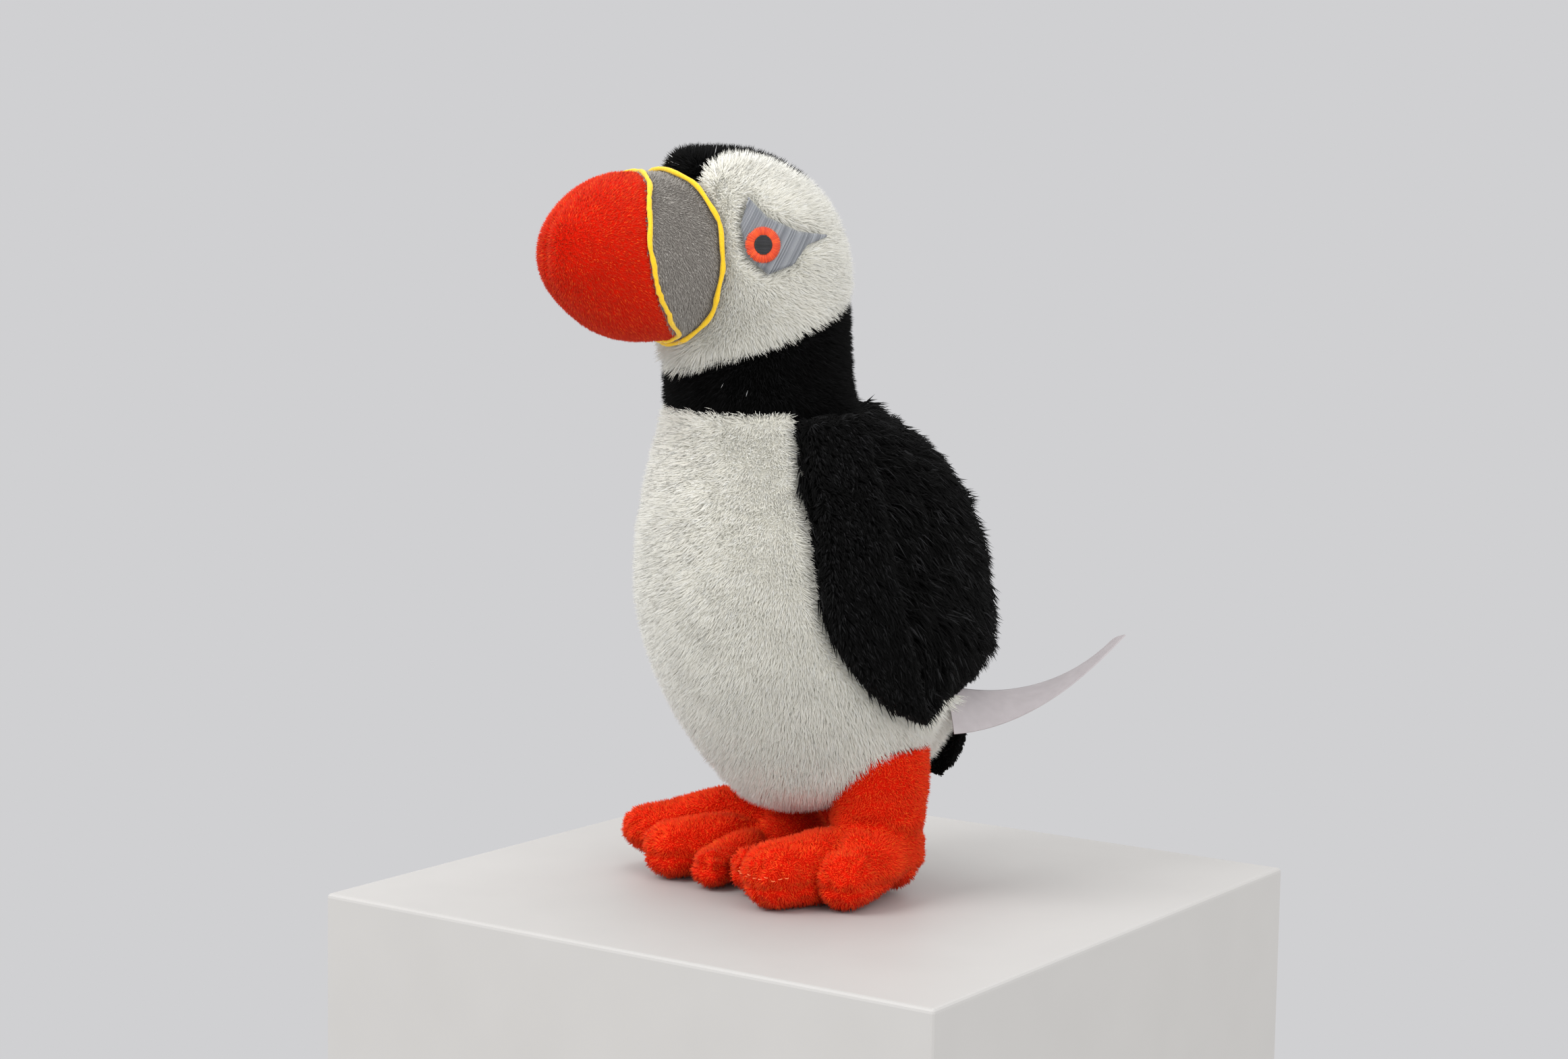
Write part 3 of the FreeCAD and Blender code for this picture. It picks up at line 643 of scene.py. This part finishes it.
orange_nap = pile_material(
    "orange nap", srgb(248, 36, 0), srgb(254, 66, 6), srgb(255, 100, 24), spread=0.2, sheen=0.01)
beak_nap = pile_material(
    "beak nap", srgb(192, 18, 0), srgb(222, 48, 4), srgb(244, 86, 20), spread=0.2, sheen=0.01)
grey_nap = pile_material(
    "grey nap", srgb(132, 127, 121), srgb(162, 157, 150), srgb(190, 185, 178), spread=0.25, sheen=0.1)
for number, node in enumerate(BEAK_PANELS):
    band = "band" in node
    comb = (0, 0, -1) if band else (0, 1, -0.3)
    piece = short_pile(f"{node}_nap", beak, beak_panels == node, 6, 1.1, 0.2, comb, lean=0.9,
                       stray=0.35, gather=0.06, gather_size=2.4, seed=200 + 10 * number)
    piece.data.materials.append(grey_nap if band else beak_nap)
    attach(piece, "bird")
    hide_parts(node)

# Piping: a thin yellow cord sewn in the seam in front of the grey band and in the one behind it.
# It follows the CAD cord around the beak, with the small waves and thick and thin places of sewn cord.


def ring_cord(name, path, radius, sides=8):
    """A round cord along a closed path of points, with its radius at each of them."""
    count = len(path)
    along = unit(np.roll(path, -1, axis=0) - np.roll(path, 1, axis=0))
    up = unit(np.cross(along, np.array([0.31, 0.17, 0.93])))
    across = np.cross(along, up)
    points = []
    for turn in range(sides):
        angle = 2 * math.pi * turn / sides
        points.append(path + (up * math.cos(angle) + across * math.sin(angle)) * radius[:, None])
    points = np.stack(points, 1).reshape(-1, 3)
    faces = []
    for index in range(count):
        following = (index + 1) % count
        for turn in range(sides):
            after = (turn + 1) % sides
            here, there = index * sides, following * sides
            faces.append((here + turn, there + turn, there + after, here + after))
    mesh = bpy.data.meshes.new(name)
    mesh.from_pydata(points.tolist(), [], faces)
    obj = bpy.data.objects.new(name, mesh)
    bpy.context.scene.collection.objects.link(obj)
    bm = bmesh.new()
    bm.from_mesh(mesh)
    bmesh.ops.recalc_face_normals(bm, faces=bm.faces)
    bm.to_mesh(mesh)
    bm.free()
    mesh.shade_smooth()
    return obj


def cord_material():
    material, shader, add = finish("yellow piping")
    place = add("TexCoord").outputs["Object"]
    fleck = add("TexNoise", {"Vector": place, "Scale": 1500.0, "Detail": 3.0}).outputs["Fac"]
    link(mixed(add, "MIX", fleck, srgb(226, 172, 4), srgb(250, 212, 14)), shader, "Base Color")
    shader.inputs["Roughness"].default_value = 0.8
    shader.inputs["Sheen Weight"].default_value = 0.25
    bump = add("Bump", {"Height": fleck, "Strength": 0.6, "Distance": 0.0003})
    link(bump.outputs["Normal"], shader, "Normal")
    return material


def path_round(points, steps, reach=0.12):
    """The middle line of a closed cord that goes round the Y axis, from points all over its surface."""
    low, high = points.min(0), points.max(0)
    angle = np.arctan2(points[:, 2] - (low[2] + high[2]) / 2, points[:, 0])
    path = []
    for step in range(steps):
        turn = -math.pi + 2 * math.pi * step / steps
        near = np.abs((angle - turn + math.pi) % (2 * math.pi) - math.pi) < reach
        if near.any():
            path.append(points[near].mean(0))
    path = np.array(path)
    for _ in range(3):
        path = (np.roll(path, 1, axis=0) + path * 2 + np.roll(path, -1, axis=0)) / 4
    return path


CORD_RADIUS, CORD_WAVES, CORD_SWING = 0.8 * MM, 11, 0.22 * MM
FRONT_CORD_PROUD = 0.55 * MM
yellow_cord = cord_material()
bpy.context.view_layer.update()
beak_surface = surface_tree(beak)
for number, node in enumerate(("beak_front_piping", "beak_rear_piping")):
    points, corners, _ = node_mesh(node)
    rng = np.random.default_rng(300 + number)
    weights = rng.dirichlet((1, 1, 1), size=(len(corners), 12))
    path = path_round(np.einsum("nkc,ncd->nkd", weights, points[corners]).reshape(-1, 3), steps=120)
    if node == "beak_front_piping":
        seats = [beak_surface.find_nearest(point) for point in path.tolist()]
        path = np.array([place + normal * FRONT_CORD_PROUD for place, normal, _, _ in seats])
    step = np.arange(len(path))
    thin = 0.88 + 0.1 * np.sin(step * 0.9) + rng.normal(size=len(path)) * 0.05
    path[:, 1] += CORD_SWING * np.sin(2 * math.pi * step / len(path) * CORD_WAVES)
    piece = ring_cord(f"{node}_cord", path, thin * CORD_RADIUS)
    piece.data.materials.append(yellow_cord)
    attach(piece, "bird")
    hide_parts(node)

# Feet: orange short-nap cloth, a sole and an upper filled softly, so that the toes stand out as three
# fat fingers with creases between them, on short stuffed legs that are sewn into the belly.
TOES = {  # angle, length, radius at the tip and at the heel, lift at the tip and at the heel
    "left": ((-30, 36, 7.4, 8.5, 1.0, 2), (-2.5, 34.5, 10.8, 11.5, 0, 0), (28, 22, 9.9, 12.8, 0.3, 2.2)),
    "right": ((-22, 32, 6.8, 8.5, 0.3, 1), (10, 32, 9.6, 10.5, 0, 0.5), (37, 37, 8.2, 11.0, 4.2, 5.5)),
}
LEG_SIDE = 21.5
LEG_RADII = (13.2, 15.6, 5.5)
CREASE_DEPTH, CREASE_WIDTH = 1.9, 1.5
FLOOR_GAP = 0.6 * MM
OUTER_TOE, LEG = 2, 3


def balls(places, finer=3):
    """Many overlapping balls (centre, radii in mm) as one mesh."""
    bm = bmesh.new()
    for centre, radii in places:
        bmesh.ops.create_icosphere(
            bm, subdivisions=finer, radius=MM,
            matrix=Matrix.Translation(Vector(centre) * MM) @ Matrix.Diagonal((*radii, 1)))
    bm.verts.ensure_lookup_table()
    points = np.array([v.co[:] for v in bm.verts])
    corners = np.array([[v.index for v in f.verts] for f in bm.faces])
    bm.free()
    return points, corners


def foot_lumps(side, sign):
    """Balls that fill a foot and its leg, the toe that each belongs to, and each toe's tip and radius."""
    heel = np.array((sign * LEG_SIDE, 8 + sign * 3.5, 0))
    lumps, groups, tips = [], [], []
    for toe, (angle, reach, tip_radius, radius, tip_lift, lift) in enumerate(TOES[side]):
        heading = math.radians(-90 + sign * angle)
        way = np.array((math.cos(heading), math.sin(heading), 0))
        start = -4 / reach if toe == OUTER_TOE else 0.12
        for step in range(15):
            share = start + (1 - start) * step / 14
            ahead = max(share, 0)
            size = radius + (tip_radius - radius) * ahead + 0.5 * math.sin(ahead * math.pi * 1.6)
            x, y, _ = heel + way * reach * share
            height = size * 0.93 + lift + (tip_lift - lift) * share
            lumps.append(((x, y, height), (size, size, size * 0.98)))
            groups.append(toe)
        tips.append((heel + way * (reach + tip_radius * 0.5) + (0, 0, tip_radius + tip_lift), tip_radius))
    for step in range(3):
        lumps.append(((heel[0] - sign * (2.6 * step + 1), heel[1] + 1.5, 12.2), (12, 12.4, 12.2)))
        groups.append(OUTER_TOE)
    for height in np.arange(14, 47, 3.0):
        lumps.append(((sign * LEG_SIDE, sign * 0.5 + 10.3, height), LEG_RADII))
        groups.append(LEG)
    return lumps, np.array(groups), tips


def creased(co, normals, lumps, groups):
    """Draws the surface in where two toes, or a toe and the leg, meet."""
    over = np.array([
        (np.linalg.norm((co / MM - centre) / np.array(radii), axis=1) - 1) * min(radii)
        for centre, radii in lumps])
    over = np.sort([over[groups == group].min(0) for group in range(LEG + 1)], axis=0)
    crease = np.exp(-(((over[1] - over[0]) / CREASE_WIDTH) ** 2))
    return co - normals * (crease * CREASE_DEPTH * MM)[:, None]


def lift_off_floor(obj, co):
    co[:, 2] = np.maximum(co[:, 2], FLOOR_GAP)
    set_coordinates(obj, co)


for number, (side, sign) in enumerate(SIDES.items()):
    foot_panels = [f"foot_upper_{side}", f"sole_{side}", f"leg_{side}"]
    lumps, groups, tips = foot_lumps(side, sign)
    points, corners = balls(lumps)
    points[:, 2] = np.minimum(points[:, 2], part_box(f"leg_{side}")[1].z - 2 * MM)
    foot, foot_panel_at = stuffed_form(
        f"stuffed_foot_{side}", (points, corners), foot_panels, voxel=1.5, shrink=0.9, cap=0.7)
    panels = foot_panel_at(face_centres(foot))
    normals = vertex_normals(foot)
    co = creased(coordinates(foot), normals, lumps, groups)
    tucks = tuft_pull(co, 3.4, 350 + number)
    for place, size in tips:
        near = np.exp(-((np.linalg.norm(co - place * MM, axis=1) / (size * MM)) ** 2))
        co += normals * (near * tucks[:, 0] * (1.5 if size < 8 else 0.8) * MM)[:, None]
    lift_off_floor(foot, co)
    press_seams(foot, panels, 0.7, 1.3)
    lift_off_floor(foot, coordinates(foot))
    dye(foot, np.tile(ORANGE_CLOTH, (len(panels), 1)))
    foot.data.materials.append(backing)
    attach(foot, "bird")
    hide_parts(f"foot_stuffing_{side}")
    for part, (node, density) in enumerate(zip(foot_panels, (6.2, 3.0, 5.0))):
        piece = short_pile(f"{node}_nap", foot, panels == node, density, 1.3, 0.2, (0, -0.3, -0.3), lean=0.7,
                           stray=0.7, gather=0.25, gather_size=1.8, seed=320 + 40 * number + 10 * part)
        piece.data.materials.append(orange_nap)
        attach(piece, "bird")
        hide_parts(node)

# Closing stitches: a row of small pale stitches closes the tip of the left foot's middle toe, where
# the filling went in. Each is a short bent thread made of five small balls.
THREAD_SIZE = (0.16, 0.16, 0.16)
foot_surface = surface_tree(bpy.data.objects["stuffed_foot_left"])
stitches = []
toe_tip = Vector((20.0, -23.0, 10.5)) * MM
for step in range(13):
    turn = math.radians(-150 + 11 * step)
    way = Vector((math.cos(turn), math.sin(turn), 0.05 * math.sin(step * 2.3)))
    hit = foot_surface.ray_cast(toe_tip + way * 25 * MM, -way)[0]
    beside = Vector((-way.y, way.x, 0.2 * math.cos(step * 1.7))).normalized() * 0.45 * MM
    for share in (-1, -0.5, 0, 0.5, 1):
        place = hit + way * (1.25 - 0.3 * share**2) * MM + beside * share
        stitches.append((place / MM, THREAD_SIZE))
piece = mesh_object("toe_closing_stitches", *balls(stitches, finer=1))
piece.data.shade_smooth()
pale_thread, shader, add = finish("pale thread")
place = add("TexCoord").outputs["Object"]
cloud = add("TexNoise", {"Vector": place, "Scale": 1200.0, "Detail": 2.0}).outputs["Fac"]
link(mixed(add, "MIX", cloud, srgb(238, 104, 50), srgb(246, 140, 84)), shader, "Base Color")
piece.data.materials.append(pale_thread)
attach(piece, "bird")
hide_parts("foot_upper_left")

# Wings: flat, black plush outside and a thin knit lining inside, sewn on along the shoulder. The
# pile is short along the front edge and at the tip.
for number, (side, sign) in enumerate(SIDES.items()):
    nodes = [f"wing_{side}_lining", f"wing_{side}_plush"]
    wing, wing_panel_at = stuffed_form(f"stuffed_wing_{side}", nodes, nodes, voxel=1.6, shrink=0.9, cap=0.5)
    panels = wing_panel_at(face_centres(wing))
    dye(wing, np.tile(BLACK_CLOTH, (len(panels), 1)))
    wing.data.materials.append(backing)
    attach(wing, f"wing_{side}")
    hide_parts(f"wing_{side}_lining")
    (_, front, bottom), (_, rear, _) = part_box(f"wing_{side}_plush")

    def shaggier_behind(points):
        """The wing's pile grows from short along its front edge to long behind."""
        growth = 0.5 + 0.9 * np.clip((points[:, 1] - front) / (rear - front) * 1.5 - 0.35, 0, 1)
        return growth * np.clip((points[:, 2] - bottom) / (26 * MM), 0.35, 1)

    piece = long_pile(
        f"wing_{side}_pile", wing, panels == f"wing_{side}_plush", 13500, 5.4, 0.22, (0, 0.35, -0.9),
        lean=0.8, locks=700, stray=0.5, seed=420 + 20 * number, hold=0.45, longer=shaggier_behind)
    piece.data.materials.append(wing_black)
    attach(piece, f"wing_{side}")
    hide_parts(f"wing_{side}_plush")

# Tail: a small black flap with a little filling, sewn on over the rump. Its pile is the shortest of
# the black cloths.
tail, _ = stuffed_form("stuffed_tail", ["tail"], ["tail"], voxel=1.2, shrink=1.3, cap=0.3)
tail_faces = len(tail.data.polygons)
dye(tail, np.tile(BLACK_CLOTH, (tail_faces, 1)))
tail.data.materials.append(backing)
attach(tail, "tail_flap")
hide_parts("tail")
piece = long_pile("tail_pile", tail, np.full(tail_faces, True), 4000, 1.0, 0.2, (0, 0.1, -1),
                  lean=0.8, locks=300, stray=0.4, seed=480, hold=0.45)
piece.data.materials.append(long_black)
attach(piece, "tail_flap")
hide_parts("tail")

# Care label: a bare satin ribbon sewn into the left side seam. It leaves it upright, curls up and
# turns flat.
LABEL_LENGTH, LABEL_WIDTH, LABEL_RADIUS = 61 * MM, 15 * MM, 80 * MM
LABEL_ROOT = Vector((31.5 * MM, 46 * MM + NECK_AXIS, 53.5 * MM))
LABEL_YAW, LABEL_PITCH = math.radians(-6), math.radians(-5.5)
TIP_ROLL, ROOT_ROLL = -24, 58
bpy.ops.mesh.primitive_grid_add(x_subdivisions=12, y_subdivisions=120, size=1)
label = bpy.context.active_object
label.name = "care_label_ribbon"
# One long edge of the ribbon is marked for a painted shade: a thin dark line where the edge turns into
# shadow.
painted_edge_shade = label.data.attributes.new("painted_edge_shade", "FLOAT", "POINT")
aim = Matrix.Rotation(LABEL_YAW, 3, "Z") @ Matrix.Rotation(LABEL_PITCH, 3, "X")
for vertex in label.data.vertices:
    painted_edge_shade.data[vertex.index].value = 1.0 if vertex.co.x < -0.49 else 0.0
    share = vertex.co.y + 0.5
    across = vertex.co.x * LABEL_WIDTH
    # The columns next to the edges are moved out to them, so that the painted line of shade along one edge is
    # thin.
    if 0.4 < abs(vertex.co.x) < 0.49:
        across = math.copysign(LABEL_WIDTH / 2 - 0.35 * MM, across)
    turned = share * LABEL_LENGTH / LABEL_RADIUS
    roll = math.radians(TIP_ROLL + (1 - share) ** 1.6 * (ROOT_ROLL - TIP_ROLL))
    middle = aim @ Vector((0, LABEL_RADIUS * math.sin(turned), LABEL_RADIUS * (1 - math.cos(turned))))
    cup = 0.6 * MM * math.cos(across / LABEL_WIDTH * math.pi)
    twist = aim @ Matrix.Rotation(turned, 3, "X") @ Matrix.Rotation(roll, 3, "Y")
    vertex.co = LABEL_ROOT + middle + twist @ Vector((across, 0, cup))
thick = label.modifiers.new("thick", "SOLIDIFY")
thick.thickness = 0.4 * MM
thick.offset = 0
apply_modifier(label, thick)
label.data.shade_flat()


def satin_material():
    material, shader, add = finish("satin ribbon")
    place = add("TexCoord").outputs["Object"]
    weave = add("TexNoise", {"Vector": place, "Scale": 300.0, "Detail": 2.0}).outputs["Fac"]
    colour = mixed(add, "MIX", weave, srgb(170, 163, 165), srgb(186, 180, 182))
    # Painted shade: the marked edge is mixed to dark grey, standing in for the edge in shadow.
    dark = add("Attribute", attribute_name="painted_edge_shade").outputs["Fac"]
    link(mixed(add, "MIX", dark, colour, srgb(60, 58, 62)), shader, "Base Color")
    shader.inputs["Roughness"].default_value = 0.8
    shader.inputs["Specular IOR Level"].default_value = 0.15
    return material


label.data.materials.append(satin_material())
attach(label, "label_flap")
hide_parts("care_label")

# Eyes: satin stitch through the face cloth, thread beside thread: a grey patch that runs to a point
# behind the eye, an orange ring on it, and a black pupil in the ring. Places are in mm on the cheek,
# back and up from the middle of the pupil.
PATCH_OUTLINE = [
    (-6.2, 5.2), (-4.6, -3.2), (1.5, -8.0), (8.6, -5.4), (12.6, 0.1), (20, 2.9), (10.2, 3.9), (1.4, 7.6),
    (-3.7, 12.8)]
THREAD_PITCH, THREAD_RADIUS = 0.34, 0.21
PATCH_SLOPE = math.radians(62)
PUPIL_RADIUS, RING_INNER, RING_OUTER, RING_THREADS = 2.6, 2.3, 4.9, 64
EYE_TURN = math.radians(26)
THREADS = {  # how far the threads lie off the cheek, slot, darkest and palest thread
    "patch": (-0.9, "grey_thread", srgb(100, 103, 109), srgb(150, 153, 158)),
    "ring": (-0.5, "orange_thread", srgb(206, 54, 3), srgb(238, 86, 12)),
    "pupil": (-0.3, "black_thread", srgb(10, 10, 13), srgb(30, 30, 35)),
}


def crossings(outline, offset, slope):
    """Where a slanted line at an offset crosses an outline, in order along the line."""
    direction = (math.cos(slope), math.sin(slope))
    normal = (-direction[1], direction[0])
    found = []
    for (x0, y0), (x1, y1) in zip(outline, outline[1:] + outline[:1]):
        d0 = x0 * normal[0] + y0 * normal[1] - offset
        d1 = x1 * normal[0] + y1 * normal[1] - offset
        if d0 * d1 < 0:
            share = d0 / (d0 - d1)
            x, y = x0 + (x1 - x0) * share, y0 + (y1 - y0) * share
            found.append((x * direction[0] + y * direction[1], x, y))
    return [(x, y) for _, x, y in sorted(found)]


def patch_threads():
    lines = []
    for step in range(-70, 60):
        ends = crossings(PATCH_OUTLINE, step * THREAD_PITCH, PATCH_SLOPE)
        lines += zip(ends[::2], ends[1::2])
    return lines


def ring_threads():
    ways = [2 * math.pi * step / RING_THREADS for step in range(RING_THREADS)]
    return [[(radius * math.cos(way), radius * math.sin(way)) for radius in (RING_INNER, RING_OUTER)]
            for way in ways]


def pupil_threads():
    lines = []
    for step in range(-7, 8):
        up = step * THREAD_PITCH
        half = math.sqrt(max(PUPIL_RADIUS**2 - up**2, 0))
        lines.append(((-half, up), (half, up)))
    return lines


def thread_material(part):
    material, shader, add = finish(f"eye_{part} thread")
    own_tone = add("Attribute", attribute_name="tone").outputs["Fac"]
    link(mixed(add, "MIX", own_tone, *THREADS[part][2:]), shader, "Base Color")
    shader.inputs["Roughness"].default_value = 0.45
    shader.inputs["Sheen Weight"].default_value = 0.15
    return material


def sew(stitches, tone, path, out, own_tone):
    """One thread along a path of points, as a six-sided cord with closed ends."""
    rings = []
    last = len(path) - 1
    for index, point in enumerate(path):
        along = (path[min(index + 1, last)] - path[max(index - 1, 0)]).normalized()
        wide = along.cross(out).normalized()
        high = wide.cross(along).normalized()
        size = THREAD_RADIUS * MM * (0.6 if index in (0, last) else 1)
        turns = [k * math.pi / 3 for k in range(6)]
        rings.append([
            stitches.verts.new(point + (wide * math.cos(a) + high * math.sin(a)) * size) for a in turns])
    for ring, following in zip(rings, rings[1:]):
        for k in range(6):
            after = (k + 1) % 6
            stitches.faces.new((ring[k], ring[after], following[after], following[k]))
    for vertex in (v for ring in rings for v in ring):
        vertex[tone] = own_tone
    stitches.faces.new(list(reversed(rings[0])))
    stitches.faces.new(rings[-1])


cheek, _ = node_tree("face_panel_left", "face_panel_right", *EYE_NODES)
EYE_LINES = {"patch": patch_threads(), "ring": ring_threads(), "pupil": pupil_threads()}
thread_materials = {part: thread_material(part) for part in THREADS}
for side, sign in SIDES.items():
    low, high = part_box(f"eye_pupil_{side}")
    centre = (low + high) / 2
    out = Vector((sign * math.cos(EYE_TURN), -math.sin(EYE_TURN), 0))
    back = Vector((sign * math.sin(EYE_TURN), math.cos(EYE_TURN), 0))

    def on_cheek(along, up, lift):
        """A point over the cheek: mm back from the pupil, mm up, and mm off the cloth."""
        start = centre + back * along * MM + Vector((0, 0, up * MM)) + out * 30 * MM
        hit, normal, _, _ = cheek.ray_cast(start, -out)
        return hit + normal * lift * MM

    for part, (lift, slot, _, _) in THREADS.items():
        stitches = bmesh.new()
        tone = stitches.verts.layers.float.new("tone")
        rng = np.random.default_rng(700)
        for (x0, y0), (x1, y1) in EYE_LINES[part]:
            if math.hypot(x1 - x0, y1 - y0) < 0.5:
                continue
            path = []
            for share in (0, 0.12, 0.5, 0.88, 1):
                bulge = lift + 0.35 * (1 - (2 * share - 1) ** 4)
                path.append(on_cheek(x0 + (x1 - x0) * share, y0 + (y1 - y0) * share, bulge))
            sew(stitches, tone, path, out, rng.random())
        bmesh.ops.recalc_face_normals(stitches, faces=stitches.faces)
        mesh = bpy.data.meshes.new(f"eye_{part}_{side}_threads")
        stitches.to_mesh(mesh)
        stitches.free()
        mesh.shade_smooth()
        mesh.materials.append(thread_materials[part])
        piece = bpy.data.objects.new(mesh.name, mesh)
        bpy.context.scene.collection.objects.link(piece)
        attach(piece, "bird")
        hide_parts(f"eye_{part}_{side}")

# Stand, light and camera: a plain white block for a floor, soft light from all round, and a camera
# a little above the toy.
bpy.ops.mesh.primitive_cube_add(size=1, location=(0, 0, 0))
stand = bpy.context.active_object
stand.name = "stand"
STAND_SIDE, STAND_HEIGHT = 200 * MM, 120 * MM
stand_middle = Matrix.Translation((-2.7 * MM, 7.9 * MM, -STAND_HEIGHT / 2))
stand_turn = Matrix.Rotation(math.radians(20.9), 4, "Z")
stand.data.transform(stand_middle @ stand_turn @ Matrix.Diagonal((STAND_SIDE, STAND_SIDE, STAND_HEIGHT, 1)))
edge = stand.modifiers.new("edge", "BEVEL")
edge.width, edge.segments = 1.2 * MM, 3
apply_modifier(stand, edge)
white_board, shader, add = finish("white board")
place = add("TexCoord").outputs["Object"]
fleck = add("TexNoise", {"Vector": place, "Scale": 40.0, "Detail": 4.0}).outputs["Fac"]
link(mixed(add, "MIX", fleck, srgb(176, 174, 172), srgb(182, 180, 178)), shader, "Base Color")
shader.inputs["Roughness"].default_value = 0.55
stand.data.materials.append(white_board)
stand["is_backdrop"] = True

world = bpy.data.worlds.new("studio")
bpy.context.scene.world = world
world.use_nodes = True
sky = world.node_tree
sky.nodes.clear()
background = sky.nodes.new("ShaderNodeBackground")
background.inputs["Color"].default_value = (1, 1, 1, 1)
background.inputs["Strength"].default_value = 0.96
seen = sky.nodes.new("ShaderNodeBackground")
seen.inputs["Color"].default_value = srgb(208, 208, 210)
choice = sky.nodes.new("ShaderNodeMixShader")
rays = sky.nodes.new("ShaderNodeLightPath")
surface = sky.nodes.new("ShaderNodeOutputWorld")
for source, target in (
    (rays.outputs["Is Camera Ray"], choice.inputs["Fac"]),
    (background.outputs[0], choice.inputs[1]),
    (seen.outputs[0], choice.inputs[2]),
    (choice.outputs[0], surface.inputs["Surface"]),
):
    sky.links.new(source, target)

for name, place, size, power in (
    ("key", (-0.1, -1.3, 1.2), 0.9, 17.0),
    ("fill", (1.4, -0.1, 0.8), 1.1, 8.0),
    ("top", (-0.1, 0.2, 1.6), 1.0, 7.0),
):
    lamp = bpy.data.lights.new(name, "AREA")
    lamp.size = size
    lamp.energy = power
    holder = bpy.data.objects.new(name, lamp)
    bpy.context.scene.collection.objects.link(holder)
    holder.location = place
    holder.rotation_euler = (Vector((0, 0, 0.1)) - Vector(place)).to_track_quat("-Z", "Y").to_euler()

camera = bpy.data.cameras.new("camera")
camera.sensor_width = 36
camera.lens = 68.16
camera.clip_start = 0.05
view = bpy.data.objects.new("camera", camera)
bpy.context.scene.collection.objects.link(view)
turn, down, roll = math.radians(55), math.radians(6.18), math.radians(0.94)
forward = Vector((-math.sin(turn) * math.cos(down), math.cos(turn) * math.cos(down), -math.sin(down)))
level = Vector((math.cos(turn), math.sin(turn), 0))
upright = level.cross(forward)
right = level * math.cos(roll) + upright * math.sin(roll)
up = upright * math.cos(roll) - level * math.sin(roll)
camera_place = Vector((683.0 * MM, -468.1 * MM + NECK_AXIS, 193.6 * MM))
view.matrix_world = Matrix.Translation(camera_place) @ Matrix((right, up, -forward)).transposed().to_4x4()
bpy.context.scene.camera = view
bpy.context.scene.view_settings.view_transform = "Standard"

low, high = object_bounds()
